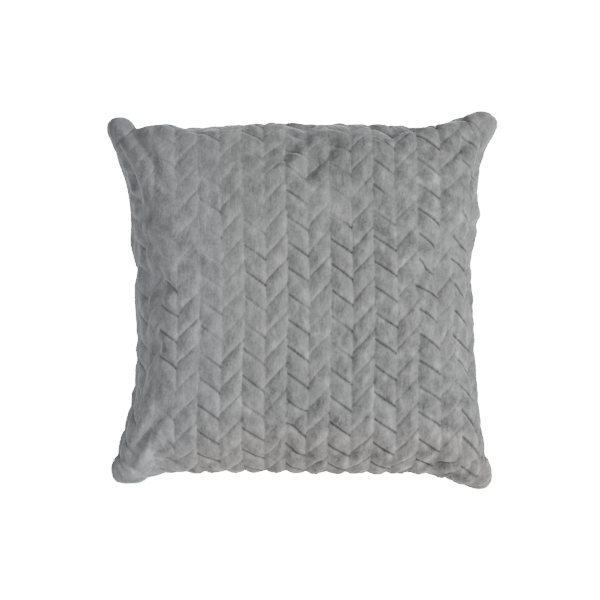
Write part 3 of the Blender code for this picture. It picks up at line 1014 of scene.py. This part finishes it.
@dataclass
class PlaitEmbossing:
    """The pressed plait: columns of leaning pads that meet in a V, in millimetres."""

    pad_width: float = 23.3
    row_pitch: float = 28.0
    slope_back: float = 0.79
    slope_forward: float = 1.0
    tilt: float = 0.075
    stagger: float = 5.4
    offset_across: float = 6.2
    offset_along: float = 6.0
    row_round: float = 11.0
    column_round: float = 11.6
    column_share: float = 0.62
    puff: float = 4.6
    sunk: float = 1.6
    seed: float = 7.0

    def tree(self, material: bpy.types.Material) -> NodeShape:
        """Builds the node tree that raises the pads and marks each point with its pad.

        Args:
            material: the plush.

        Returns:
            The tree, ready to run over a panel.
        """
        shape = NodeShape("plait embossing")
        graph = shape.graph
        width = shape.size("Pad Width", self.pad_width)
        pitch = shape.size("Row Pitch", self.row_pitch)
        slope_back = shape.size("Slope Back", self.slope_back)
        slope_forward = shape.size("Slope Forward", self.slope_forward)
        tilt = shape.size("Tilt", self.tilt)
        stagger = shape.size("Stagger", self.stagger)
        across_offset = shape.size("Offset Across", self.offset_across)
        along_offset = shape.size("Offset Along", self.offset_along)
        row_round = shape.size("Row Rounding", self.row_round)
        column_round = shape.size("Column Rounding", self.column_round)
        puff = shape.size("Puff", self.puff)
        sunk = shape.size("Sunk", self.sunk)
        seed = shape.size("Seed", self.seed)
        named = {"data_type": "FLOAT_VECTOR"}
        cut = graph.node("GeometryNodeInputNamedAttribute", named, {"Name": "cut"}).outputs[0]
        outer = graph.node(
            "GeometryNodeInputNamedAttribute", {"data_type": "FLOAT"}, {"Name": "outer"}
        )
        outer = Value(graph, outer.outputs[0])
        across, along, _ = graph.parts(cut)
        # The hand-set rollers leave each row a little uneven.
        sway = graph.noise(graph.vector(across * 0.011, along * 0.011, seed), 1.0, 1.0) - 0.5
        drift = graph.noise(graph.vector(across * 0.03, along * 0.03, seed + 9.0), 1.0, 1.0) - 0.5
        u = across - across_offset + 3.0 * sway
        v = along - along_offset + 3.0 * drift
        pair = graph.math("ROUND", u / (2.0 * width))
        from_low = u - 2.0 * width * pair
        lean = graph.math("SIGN", from_low)
        forwards = 0.5 + 0.5 * lean
        slope = slope_back + (slope_forward - slope_back) * forwards
        a = abs(from_low)
        s = v - slope * a - tilt * across - stagger * forwards
        row = graph.math("ROUND", s / pitch)
        row_gap = abs(s - row * pitch) / graph.math("SQRT", 1.0 + slope * slope)
        column_gap = graph.least(a, width - a)

        def rounded(gap: Value, reach: Value) -> Value:
            """Height of a pad's rounded edge at this gap from its groove."""
            left = 1.0 - graph.held(gap / reach)
            return graph.math("SQRT", graph.greatest(1.0 - left * left, 0.0))

        rows = (1.0 - rounded(row_gap, row_round)) * (1.0 - 0.22 * forwards)
        beside = 1.0 - graph.held(column_gap / column_round)
        columns = self.column_share * beside * beside
        high = graph.greatest(1.0 - graph.math("SQRT", rows * rows + columns * columns), 0.0)
        lump = graph.noise(graph.vector(across * 0.09, along * 0.07, seed), 1.0, 2.0) - 0.5
        nap = graph.noise(graph.vector(across * 0.3, along * 0.16, seed), 1.0, 2.0, 0.6) - 0.5
        cloud = graph.noise(graph.vector(across * 0.016, along * 0.013, seed + 4.0), 1.0, 2.0)
        worn = graph.ease(cloud + across * 0.0007 - along * 0.0006, 0.28, 0.6)
        crisp = 0.3 + 0.82 * worn
        height = (
            crisp * (high * puff * (1.0 + 0.6 * lump) - sunk)
            + 1.1 * nap * graph.ease(high, 0.0, 0.5)
        )
        push = graph.node("ShaderNodeVectorMath", {"operation": "SCALE"})
        graph.feed(push.inputs[0], graph.node("GeometryNodeInputNormal").outputs[0])
        graph.feed(push.inputs["Scale"], height * outer * MM)
        # groove marks nearness to a groove; the plush darkens there as painted shade.
        groove = 1.0 - graph.ease(graph.least(row_gap, column_gap * 2.0 + 1.25), 0.2, 2.2)
        floor_row = graph.math("FLOOR", s / pitch)
        pad_place = graph.vector(pair * 2.0 + lean, floor_row, seed)
        pad = graph.value(
            "ShaderNodeTexWhiteNoise", {"noise_dimensions": "3D"}, {"Vector": pad_place}
        )
        # rim marks a band just past each row groove; the plush lightens it as a painted highlight.
        signed = s - row * pitch
        rim = graph.ease(signed, 0.9, 2.3) * (1.0 - graph.ease(signed, 3.2, 7.0))
        # rise is also read by the plush for its painted sheen.
        marks = (
            ("groove", groove * outer * crisp),
            ("rim", rim * outer * crisp),
            ("rise", high),
            ("tile", pad),
            ("lean", lean),
        )
        geometry = shape.inlet.outputs["Geometry"]
        for name, value in marks:
            settings = {"data_type": "FLOAT", "domain": "POINT"}
            values = {"Geometry": geometry, "Name": name, "Value": value}
            geometry = graph.node("GeometryNodeStoreNamedAttribute", settings, values).outputs[0]
        values = {"Geometry": geometry, "Offset": push.outputs[0]}
        moved = graph.node("GeometryNodeSetPosition", None, values)
        shape.finish(moved.outputs[0], material)
        return shape


@dataclass
class Cover:
    """The two plush panels, each a padded wall with its seam allowance turned in."""

    cloth: StuffedCloth
    plait: PlaitEmbossing
    wall: float = 2.5
    allowance: float = 10.0
    allowance_thickness: float = 1.2
    front_cells: int = 432
    back_cells: int = 300
    cells_per_lining: int = 6
    lowest: float = 1.0
    landing: float = 2.0
    neck_off: float = 3.0
    tip_reach: float = 17.0
    plain_edge: float = 9.0
    ears: tuple[Ear, ...] = (
        Ear(-1, 1, (18.0, 25.0), 27.0, 4.5, 5.0, (2.6, 10.5), 0.6, 8.5),
        Ear(1, 1, (16.0, 30.0), 29.0, 5.5, 2.8, (-5.0, 11.0), 0.25, 9.0),
        Ear(-1, -1, (25.0, 18.0), 27.0, 5.0, 3.0, (9.0, 5.0), 0.45, 9.0),
        Ear(1, -1, (30.0, 18.0), 30.0, 5.5, 2.0, (5.0, 2.0), 0.2, 10.0),
    )
    folds: tuple[Fold, ...] = (
        Fold((-176, 196), (-150, 130), 5.0, 4.0),
        Fold((-196, 176), (-176, 96), 5.0, 3.5),
        Fold((-204, 120), (-180, 108), 4.0, 2.5),
        Fold((-204, 92), (-178, 84), 4.0, 2.0),
        Fold((182, 182), (140, 128), 6.0, 4.0),
        Fold((196, 168), (176, 110), 5.0, 3.0),
        Fold((-186, -186), (-146, -132), 6.0, 3.5),
        Fold((-170, -196), (-136, -164), 5.0, 2.5),
        Fold((184, -184), (146, -140), 6.0, 3.5),
        Fold((198, -160), (172, -132), 5.0, 2.5),
    )

    def build(
        self, plush: bpy.types.Material, thread: bpy.types.Material
    ) -> list[bpy.types.Object]:
        """Makes and dresses both panels and the binding of their seam."""
        pieces = [self.binding(thread)]
        for name, node, side, cells in (
            ("cover_front", "front_panel", Side.FRONT, self.front_cells),
            ("cover_back", "back_panel", Side.BACK, self.back_cells),
        ):
            panel = self.panel(name, side, cells)
            self.plait.tree(plush).apply(panel)
            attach(panel, "cushion")
            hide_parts(node)
            pieces.append(panel)
        return pieces

    def outside(self, side: Side, cells: int) -> Array:
        """The outer face of a panel, with its ears and folds, before the embossing."""
        grid = self.cloth.shell(side, 0.0, self.cloth.form.crown, None, 0.0, cells)
        grid = self.creased(self.eared(grid, cells), side, cells)
        if side is Side.BACK:
            grid[..., 2] = self.lowest + softened(grid[..., 2] - self.lowest, self.landing)
        return grid

    def lining(self, side: Side, count: int) -> Array:
        """The inner face of a panel, a wall's thickness behind the outer one."""
        form = self.cloth.form
        grid = self.cloth.shell(side, self.wall, form.crown - self.wall, None, self.wall, count)
        return self.creased(self.eared(grid, count), side, count)

    def eared(self, grid: Array, cells: int) -> Array:
        """A face with the knobs and necks of its corners drawn into it."""
        across, along = self.cloth.cut_grid(cells)
        for ear in self.ears:
            off_across, off_along = self.from_ear(ear, across, along)
            flat_reach = np.hypot(off_across, off_along)
            centre = grid.reshape(-1, 3)[np.argmin(flat_reach)].copy()
            centre[2] = self.cloth.form.seam_height
            away = grid - centre
            inwards = -(off_across * ear.right + off_along * ear.far) / ear.radius
            length = np.linalg.norm(away, axis=2, keepdims=True) + 2.0
            knob = ear.lift * np.clip(1 - (flat_reach / ear.radius) ** 2, 0, 1) ** 0.6
            pinch = (
                ear.neck
                * np.exp(-(((flat_reach - ear.radius - self.neck_off) / ear.neck_width) ** 2))
            )
            pinch *= smooth_step(inwards, -1.1, 0.4)
            grid = grid + away / length * (knob - pinch)[..., None]
            tip = (
                self.cloth.cut_across - ear.right * across, self.cloth.cut_along - ear.far * along
            )
            drawn_in = np.exp(-((np.hypot(*tip) / self.tip_reach) ** 2))
            grid[..., 0] -= ear.right * ear.blunt[0] * drawn_in
            grid[..., 1] -= ear.far * ear.blunt[1] * drawn_in
        return grid

    def from_ear(self, ear: Ear, across: Array, along: Array) -> tuple[Array, Array]:
        """Offsets in the flat cut from the middle of an ear."""
        return (
            across - ear.right * (self.cloth.cut_across - ear.inset[0]),
            along - ear.far * (self.cloth.cut_along - ear.inset[1]),
        )

    def plainness(self, cells: int) -> Array:
        """How far the embossing is missing at each point, from its ears."""
        cut = self.cloth.cut_grid(cells)
        plain = np.zeros_like(cut[0])
        for ear in self.ears:
            reach = np.hypot(*self.from_ear(ear, *cut))
            plain = np.maximum(
                plain, ear.plain * (1 - smooth_step(reach, 0.75 * ear.radius, 1.35 * ear.radius))
            )
        return plain

    def creased(self, grid: Array, side: Side, cells: int) -> Array:
        """A face with the folds that run in from its corners."""
        across, along = self.cloth.cut_grid(cells)
        normal = normals_of(grid, side)
        for fold in self.folds:
            start, end = np.array(fold.start), np.array(fold.end)
            run = end - start
            far = np.linalg.norm(run)
            share = ((across - start[0]) * run[0] + (along - start[1]) * run[1]) / far**2
            off = ((across - start[0]) * run[1] - (along - start[1]) * run[0]) / far
            taper = np.clip(np.sin(np.clip(share * 0.9 + 0.1, 0, 1) * math.pi), 0, 1) ** 0.8
            crease = (
                np.exp(-((off / fold.width) ** 2))
                - 0.4 * np.exp(-(((np.abs(off) - 2 * fold.width) / fold.width) ** 2))
            )
            grid = grid - normal * (fold.depth * taper * crease)[..., None]
        return grid

    def panel(self, name: str, side: Side, cells: int) -> bpy.types.Object:
        """A closed panel: its outer face, its turned-in edge and its lining."""
        form = self.cloth.form
        count = cells // self.cells_per_lining
        outer = self.outside(side, cells)
        rim = form.mouth(*self.rim_shares(count))
        lining = self.lining(side, count)
        edge = rim_order(count)
        middle = form.seam_height
        home, gone = self.seam(outer, cells)
        turned = np.zeros((len(edge), 3))
        turned[:, :2] = (
            np.stack(form.outline(*self.rim_shares(count), self.allowance), axis=-1) + (gone - home)
        )
        low = turned.copy()
        low[:, 2] = middle + side.value * rim
        high = turned.copy()
        high[:, 2] = middle + side.value * (rim + self.allowance_thickness)
        lining_flat = lining.reshape(-1, 3).copy()
        lining_flat[edge, 2] = middle + side.value * (rim + self.allowance_thickness)
        points = np.concatenate([outer.reshape(-1, 3), low, high, lining_flat])
        first = (cells + 1) ** 2
        low_index = first + np.arange(len(edge))
        high_index = low_index + len(edge)
        lining_start = first + 2 * len(edge)
        up = side is Side.FRONT
        faces = [
            grid_faces(cells, 0, up),
            ring_faces(low_index, high_index, not up),
            ring_faces(high_index, lining_start + edge, not up),
            grid_faces(count, lining_start, not up),
            fan_faces(rim_order(cells), low_index, up),
        ]
        obj = mesh_object(name, points, faces)
        across, along = self.cloth.cut_grid(cells)
        inner_across, inner_along = self.cloth.cut_grid(count)
        cut = np.zeros((len(points), 3))
        cut[:first, 0], cut[:first, 1] = across.reshape(-1), along.reshape(-1)
        cut[lining_start:, 0], cut[lining_start:, 1] = inner_across.reshape(
            -1
        ), inner_along.reshape(-1)
        cut[low_index] = cut[high_index] = cut[lining_start + edge]
        outer_share = np.zeros(len(points))
        from_seam = np.minimum(
            self.cloth.cut_across - np.abs(across), self.cloth.cut_along - np.abs(along)
        )
        share = smooth_step(from_seam, 0.0, self.plain_edge) * (1 - self.plainness(cells))
        if side is Side.BACK:
            share = share * (0.5 + 0.5 * smooth_step(outer[..., 2], 2.0, 14.0))
        outer_share[:first] = share.reshape(-1)
        add_attribute(obj, "cut", cut)
        add_attribute(obj, "outer", outer_share)
        smooth = np.zeros(len(obj.data.polygons), bool)
        smooth[: cells * cells] = True
        obj.data.polygons.foreach_set("use_smooth", smooth)
        return obj

    def rim_shares(self, count: int) -> tuple[Array, Array]:
        """The shares (p, q) round the edge of a grid of this many cells."""
        weights = self.cloth.weights(count)
        edge = rim_order(count)
        p = np.clip(weights @ self.cloth.p @ weights.T, -1, 1).reshape(-1)[edge]
        q = np.clip(weights @ self.cloth.q @ weights.T, -1, 1).reshape(-1)[edge]
        return p, q

    def binding(self, thread: bpy.types.Material) -> bpy.types.Object:
        """The overlock of the seam, carried along to where the seam of the filled cover lies."""
        home, gone = self.seam(self.outside(Side.FRONT, self.front_cells), self.front_cells)
        mesh, shape = joined_copy("seam_overlock", "seam_binding", 0.01 * MM)
        for vertex in shape.verts:
            nearest = np.argmin(((home * MM - np.array(vertex.co[:2])) ** 2).sum(axis=1))
            vertex.co.x += (gone - home)[nearest, 0] * MM
            vertex.co.y += (gone - home)[nearest, 1] * MM
        obj = dressed_copy("seam_binding", mesh, shape, thread)
        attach(obj, "cushion")
        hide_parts("seam_overlock")
        return obj

    def seam(self, outer: Array, cells: int) -> tuple[Array, Array]:
        """Places round the seam in the plan: in the frame, and in the filled cover."""
        count = cells // self.cells_per_lining
        home = np.stack(self.cloth.form.outline(*self.rim_shares(count), 0.0), axis=-1)
        return home, outer.reshape(-1, 3)[rim_order(cells)][:: self.cells_per_lining, :2]


@dataclass
class Insert:
    """The non-woven inner case and its loose filling."""

    cloth: StuffedCloth
    inset: float = 15.0
    wall: float = 0.8
    gap: float = 0.3
    cells: int = 60
    depth: float = 2.8
    fill_inset: float = 24.2
    fill_floor: float = 4.0
    corner_pull: float = 9.0
    corner_reach: float = 45.0
    corner_sag: float = 0.24
    sag_reach: float = 62.0

    def build(
        self, nonwoven: bpy.types.Material, fibre: bpy.types.Material
    ) -> list[bpy.types.Object]:
        """Makes and dresses the case's two shells and the filling."""
        pieces = []
        crown = self.cloth.form.crown - self.depth
        for name, node, side in (
            ("case_front", "insert_front_shell", Side.FRONT),
            ("case_back", "insert_back_shell", Side.BACK),
        ):
            shell = self.shell(name, side, crown)
            self.dress(shell, nonwoven, node)
            pieces.append(shell)
        filling = self.filling(crown - self.wall - self.gap)
        self.dress(filling, fibre, "fibre_fill")
        pieces.append(filling)
        return pieces

    def dress(
        self, piece: bpy.types.Object, material: bpy.types.Material, node: str
    ) -> None:
        """Gives a piece its material and smooth shading, hangs it on the cushion body and hides its
        frame node.
        """
        piece.data.materials.append(material)
        piece.data.shade_smooth()
        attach(piece, "cushion")
        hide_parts(node)

    def short_of_corners(self, grid: Array) -> Array:
        """A face drawn back from the cover's corners, which the filling doesn't reach."""
        across, along = self.cloth.cut_grid(self.cells)
        from_tip = np.hypot(
            self.cloth.cut_across - np.abs(across), self.cloth.cut_along - np.abs(along)
        )
        drawn_in = self.corner_pull * np.exp(-((from_tip / self.corner_reach) ** 2))
        middle = self.cloth.form.seam_height
        grid = grid.copy()
        grid[..., 0] -= np.sign(across) * drawn_in
        grid[..., 1] -= np.sign(along) * drawn_in
        grid[..., 2] = (
            middle
            + (grid[..., 2] - middle) * (
                1 - self.corner_sag * np.exp(-((from_tip / self.sag_reach) ** 2))
            )
        )
        return grid

    def face(self, side: Side, inset: float, crown: float, rim: float, floor: float) -> Array:
        """A face of the case or of the filling."""
        return self.short_of_corners(self.cloth.shell(side, inset, crown, rim, floor, self.cells))

    def shell(self, name: str, side: Side, crown: float) -> bpy.types.Object:
        """One closed thin shell of the case."""
        rim = self.gap / 2
        floor = self.depth
        outer = self.face(side, self.inset, crown, rim, floor)
        inner = self.face(
            side, self.inset + self.wall, crown - self.wall, rim + self.wall, floor + self.wall
        )
        size = (self.cells + 1) ** 2
        edge = rim_order(self.cells)
        up = side is Side.FRONT
        faces = [
            grid_faces(self.cells, 0, up),
            grid_faces(self.cells, size, not up),
            ring_faces(edge, size + edge, not up),
        ]
        points = np.concatenate([outer.reshape(-1, 3), inner.reshape(-1, 3)])
        obj = mesh_object(name, points, faces)
        across, along = self.cloth.cut_grid(self.cells)
        cut = np.stack([across.reshape(-1), along.reshape(-1), np.zeros(size)], axis=-1)
        add_attribute(obj, "cut", np.concatenate([cut, cut]))
        return obj

    def filling(self, crown: float) -> bpy.types.Object:
        """The closed lumpy body of fibre."""
        rim = self.gap / 2
        top = self.face(Side.FRONT, self.fill_inset, crown, rim, self.fill_floor)
        base = self.face(Side.BACK, self.fill_inset, crown, rim, self.fill_floor)
        across, along = self.cloth.cut_grid(self.cells)
        lumps = (
            1.2
            * (
                1
                + np.sin(across / 17.0 + 2 * np.sin(along / 31.0)) * np.sin(
                    along / 19.0 + np.cos(across / 23.0)
                )
            )
        )
        top -= normals_of(top, Side.FRONT) * (lumps * 0.5)[..., None]
        size = (self.cells + 1) ** 2
        edge = rim_order(self.cells)
        faces = [
            grid_faces(self.cells, 0, True),
            grid_faces(self.cells, size, False),
            ring_faces(edge, size + edge, False),
        ]
        return mesh_object(
            "filling", np.concatenate([top.reshape(-1, 3), base.reshape(-1, 3)]), faces
        )


@dataclass
class Zip:
    """The zip's coils, as rows of nylon loops, and its metal parts with their edges eased."""

    loop_pitch: float = 1.3
    wire: float = 0.62
    loop_lean: float = 0.16
    loop_square: float = 0.72
    eased: float = 0.14
    flat_angle: float = 4.0
    eased_angle: float = 35.0
    shade_angle: float = 50.0

    def build(self, nylon: bpy.types.Material, zinc: bpy.types.Material) -> list[bpy.types.Object]:
        """Makes and dresses the coils and the metal parts."""
        pieces = []
        for half in ("front", "back"):
            pieces.append(self.coil(f"coil_{half}", f"zip_coil_{half}", nylon))
        for name, node, body in (
            ("top_stop_front", "zip_top_stop_front", "cushion"),
            ("top_stop_back", "zip_top_stop_back", "cushion"),
            ("bottom_stop", "zip_bottom_stop", "cushion"),
            ("slider_body", "zip_slider", "slider"),
            ("pull_tab", "zip_pull", "pull"),
        ):
            pieces.append(self.metal(name, node, body, zinc))
        return pieces

    def coil(self, name: str, node: str, nylon: bpy.types.Material) -> bpy.types.Object:
        """A row of loops along one half of the zip."""
        low, high = (np.array(corner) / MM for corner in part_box(node))
        sides, turns = 6, 14
        angle = np.linspace(0, 2 * math.pi, turns, endpoint=False)
        half_depth = (high[1] - low[1] - self.wire) / 2
        half_height = (high[2] - low[2] - self.wire) / 2
        path = np.stack(
            [
                self.loop_lean * self.loop_pitch * np.sin(angle),
                half_depth * np.sign(np.cos(angle)) * np.abs(np.cos(angle)) ** self.loop_square,
                half_height * np.sign(np.sin(angle)) * np.abs(np.sin(angle)) ** self.loop_square,
            ],
            axis=-1,
        )
        out = np.stack([np.zeros(turns), np.cos(angle), np.sin(angle)], axis=-1)
        turn = np.linspace(0, 2 * math.pi, sides, endpoint=False)
        points = [
            path[k] + self.wire / 2 * (
                math.cos(t) * out[k] + math.sin(t) * np.array([1.0, 0.0, 0.0])
            )
            for k in range(turns)
            for t in turn
        ]
        faces = [
            (
                k * sides + i,
                k * sides + (i + 1) % sides,
                (k + 1) % turns * sides + (i + 1) % sides,
                (k + 1) % turns * sides + i,
            )
            for k in range(turns)
            for i in range(sides)
        ]
        loop = mesh_object(name, np.array(points), np.array(faces)[:, ::-1])
        shape = NodeShape("coil loops")
        graph = shape.graph
        length = shape.size("Length", (high[0] - low[0] - 2 * self.wire) * MM)
        pitch = shape.size("Pitch", self.loop_pitch * MM)
        seat = [
            shape.size(f"Seat {axis}", value * MM) for axis, value in zip("XYZ", (low + high) / 2)
        ]
        count = graph.math("FLOOR", length / pitch) + 1.0
        start = graph.vector(seat[0] - (count - 1.0) * pitch / 2.0, seat[1], seat[2])
        values = {
            "Count": count.socket, "Start Location": start, "Offset": graph.vector(pitch, 0.0, 0.0)
        }
        line = graph.node("GeometryNodeMeshLine", {"mode": "OFFSET"}, values)
        values = {"Points": line.outputs[0], "Instance": shape.inlet.outputs["Geometry"]}
        loops = graph.node("GeometryNodeInstanceOnPoints", None, values)
        shape.finish(loops.outputs[0], nylon)
        shape.apply(loop)
        loop.data.shade_smooth()
        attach(loop, "cushion")
        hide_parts(node)
        return loop

    def metal(self, name: str, node: str, body: str, zinc: bpy.types.Material) -> bpy.types.Object:
        """A copy of a metal part with its edges eased."""
        mesh, shape = joined_copy(node, name, 0.02 * MM)
        flat, eased = math.radians(self.flat_angle), math.radians(self.eased_angle)
        bmesh.ops.dissolve_limit(shape, angle_limit=flat, verts=shape.verts, edges=shape.edges)
        sharp = [e for e in shape.edges if len(e.link_faces) == 2 and e.calc_face_angle(0) > eased]
        bmesh.ops.bevel(
            shape,
            geom=sharp,
            offset=self.eased * MM,
            segments=2,
            profile=0.5,
            affect="EDGES",
            clamp_overlap=True,
        )
        obj = dressed_copy(name, mesh, shape, zinc)
        mesh.shade_smooth()
        mesh.set_sharp_from_angle(angle=math.radians(self.shade_angle))
        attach(obj, body)
        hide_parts(node)
        return obj


@dataclass
class Studio:
    """A pale floor, a large soft key, an even fill and the camera."""

    view_width: float = 0.671
    distance: float = 2.2
    elevation: float = 83.0
    look_at: tuple[float, float, float] = (0.0, -0.001, 0.06)
    sensor: float = 36.0
    key_power: float = 62.0
    key_azimuth: float = 4.0
    key_elevation: float = 36.0
    key_size: float = 0.9
    front_power: float = 26.0
    front_azimuth: float = -96.0
    front_elevation: float = 42.0
    front_size: float = 1.4
    lamp_away: float = 2.4
    lamp_aim: float = 0.06
    fill: float = 0.46
    floor_side: float = 24000.0
    floor_drop: float = 0.05
    floor_glow: float = 18.0

    def build(self) -> None:
        """Makes the floor, the lights and the camera."""
        self.floor()
        self.world()
        self.lamp("key", self.key_azimuth, self.key_elevation, self.key_size, self.key_power)
        self.lamp(
            "front", self.front_azimuth, self.front_elevation, self.front_size, self.front_power
        )
        self.camera()

    def floor(self) -> None:
        """A wide pale floor that reads as clean white."""
        side = self.floor_side
        points = np.array(
            [(-side, -side, 0), (side, -side, 0), (side, side, 0), (-side, side, 0)], float
        )
        floor = mesh_object(
            "floor", points - np.array([0, 0, self.floor_drop]), np.array([[0, 1, 2, 3]])
        )
        material = bpy.data.materials.new("floor")
        material.use_nodes = True
        graph = Graph(material.node_tree)
        shader = material.node_tree.nodes["Principled BSDF"]
        shader.inputs["Base Color"].default_value = (0.8, 0.8, 0.8, 1.0)
        shader.inputs["Roughness"].default_value = 0.9
        glow = graph.node(
            "ShaderNodeEmission", None, {"Color": (1.0, 1.0, 1.0, 1.0), "Strength": self.floor_glow}
        )
        seen = graph.node("ShaderNodeLightPath").outputs["Is Camera Ray"]
        mix = graph.node(
            "ShaderNodeMixShader", None, {0: seen, 1: shader.outputs[0], 2: glow.outputs[0]}
        )
        graph.feed(material.node_tree.nodes["Material Output"].inputs[0], mix.outputs[0])
        floor.data.materials.append(material)

    def world(self) -> None:
        """An even white surround."""
        world = bpy.data.worlds.new("studio")
        world.use_nodes = True
        background = world.node_tree.nodes["Background"]
        background.inputs["Color"].default_value = (1.0, 1.0, 1.0, 1.0)
        background.inputs["Strength"].default_value = self.fill
        bpy.context.scene.world = world

    def lamp(self, name: str, azimuth: float, elevation: float, size: float, power: float) -> None:
        """A square soft lamp that faces the pillow.

        Args:
            name: the lamp's name.
            azimuth: degrees from +X towards +Y.
            elevation: degrees above the floor.
            size: its side, in metres.
            power: its power, in watts.
        """
        light = bpy.data.lights.new(name, "AREA")
        light.shape = "SQUARE"
        light.size = size
        light.energy = power
        lamp = linked(name, light)
        a, e = math.radians(azimuth), math.radians(elevation)
        level = self.lamp_away * math.cos(e)
        height = self.lamp_aim + self.lamp_away * math.sin(e)
        lamp.location = (level * math.cos(a), level * math.sin(a), height)
        lamp.rotation_euler = (math.pi / 2 - e, 0.0, a + math.pi / 2)

    def camera(self) -> None:
        """The camera, looking down on the pillow from just in front of it."""
        data = bpy.data.cameras.new("camera")
        data.sensor_width = self.sensor
        data.lens = self.sensor * self.distance / self.view_width
        data.clip_end = 50.0
        camera = linked("camera", data)
        e = math.radians(self.elevation)
        x, y, z = self.look_at
        camera.location = (x, y - self.distance * math.cos(e), z + self.distance * math.sin(e))
        camera.rotation_euler = (math.pi / 2 - e, 0.0, 0.0)
        bpy.context.scene.camera = camera


def dress_nodes(finishes: dict[str, bpy.types.Material]) -> None:
    """Gives the frame's own nodes that stay on show their finishes."""
    worn = {
        "zip_overlock_front": "thread",
        "zip_overlock_back": "thread",
        "insert_seam": "thread_white",
        "care_label": "label",
        "zip_tape_front": "zip_tape",
        "zip_tape_back": "zip_tape",
    }
    for node, finish in worn.items():
        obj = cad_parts[node]
        if not obj.material_slots:
            obj.data.materials.append(finishes[finish])
        for slot in obj.material_slots:
            slot.material = finishes[finish]
        LOG.info("dressed %s in %s", node, finish)


def main() -> None:
    """Builds the pillow's looks and its studio."""
    logging.basicConfig(level=logging.INFO, format="%(name)s: %(message)s")
    finishes = {
        "plush": PlushFinish().build(),
        "thread": ThreadFinish("thread", (0.22, 0.22, 0.225)).build(),
        "thread_white": ThreadFinish("thread white", (0.8, 0.8, 0.79)).build(),
        "zip_tape": WovenFinish("zip tape", (0.18, 0.18, 0.185), 0.6 * MM, 0.85).build(),
        "label": WovenFinish("label satin", (0.85, 0.85, 0.84), 0.35 * MM, 0.5, 0.3).build(),
        "zip_coil": NylonFinish().build(),
        "zinc": ZincFinish().build(),
        "nonwoven": NonwovenFinish().build(),
        "fibre": FibreFinish().build(),
    }
    Studio().build()
    cloth = StuffedCloth(PillowForm())
    pieces = Cover(cloth, PlaitEmbossing()).build(finishes["plush"], finishes["thread"])
    pieces += Insert(cloth).build(finishes["nonwoven"], finishes["fibre"])
    pieces += Zip().build(finishes["zip_coil"], finishes["zinc"])
    dress_nodes(finishes)
    for piece in pieces:
        LOG.info(
            "%s: %d points, %d faces",
            piece.name,
            len(piece.data.vertices),
            len(piece.data.polygons),
        )


if __name__ == "__main__":
    main()
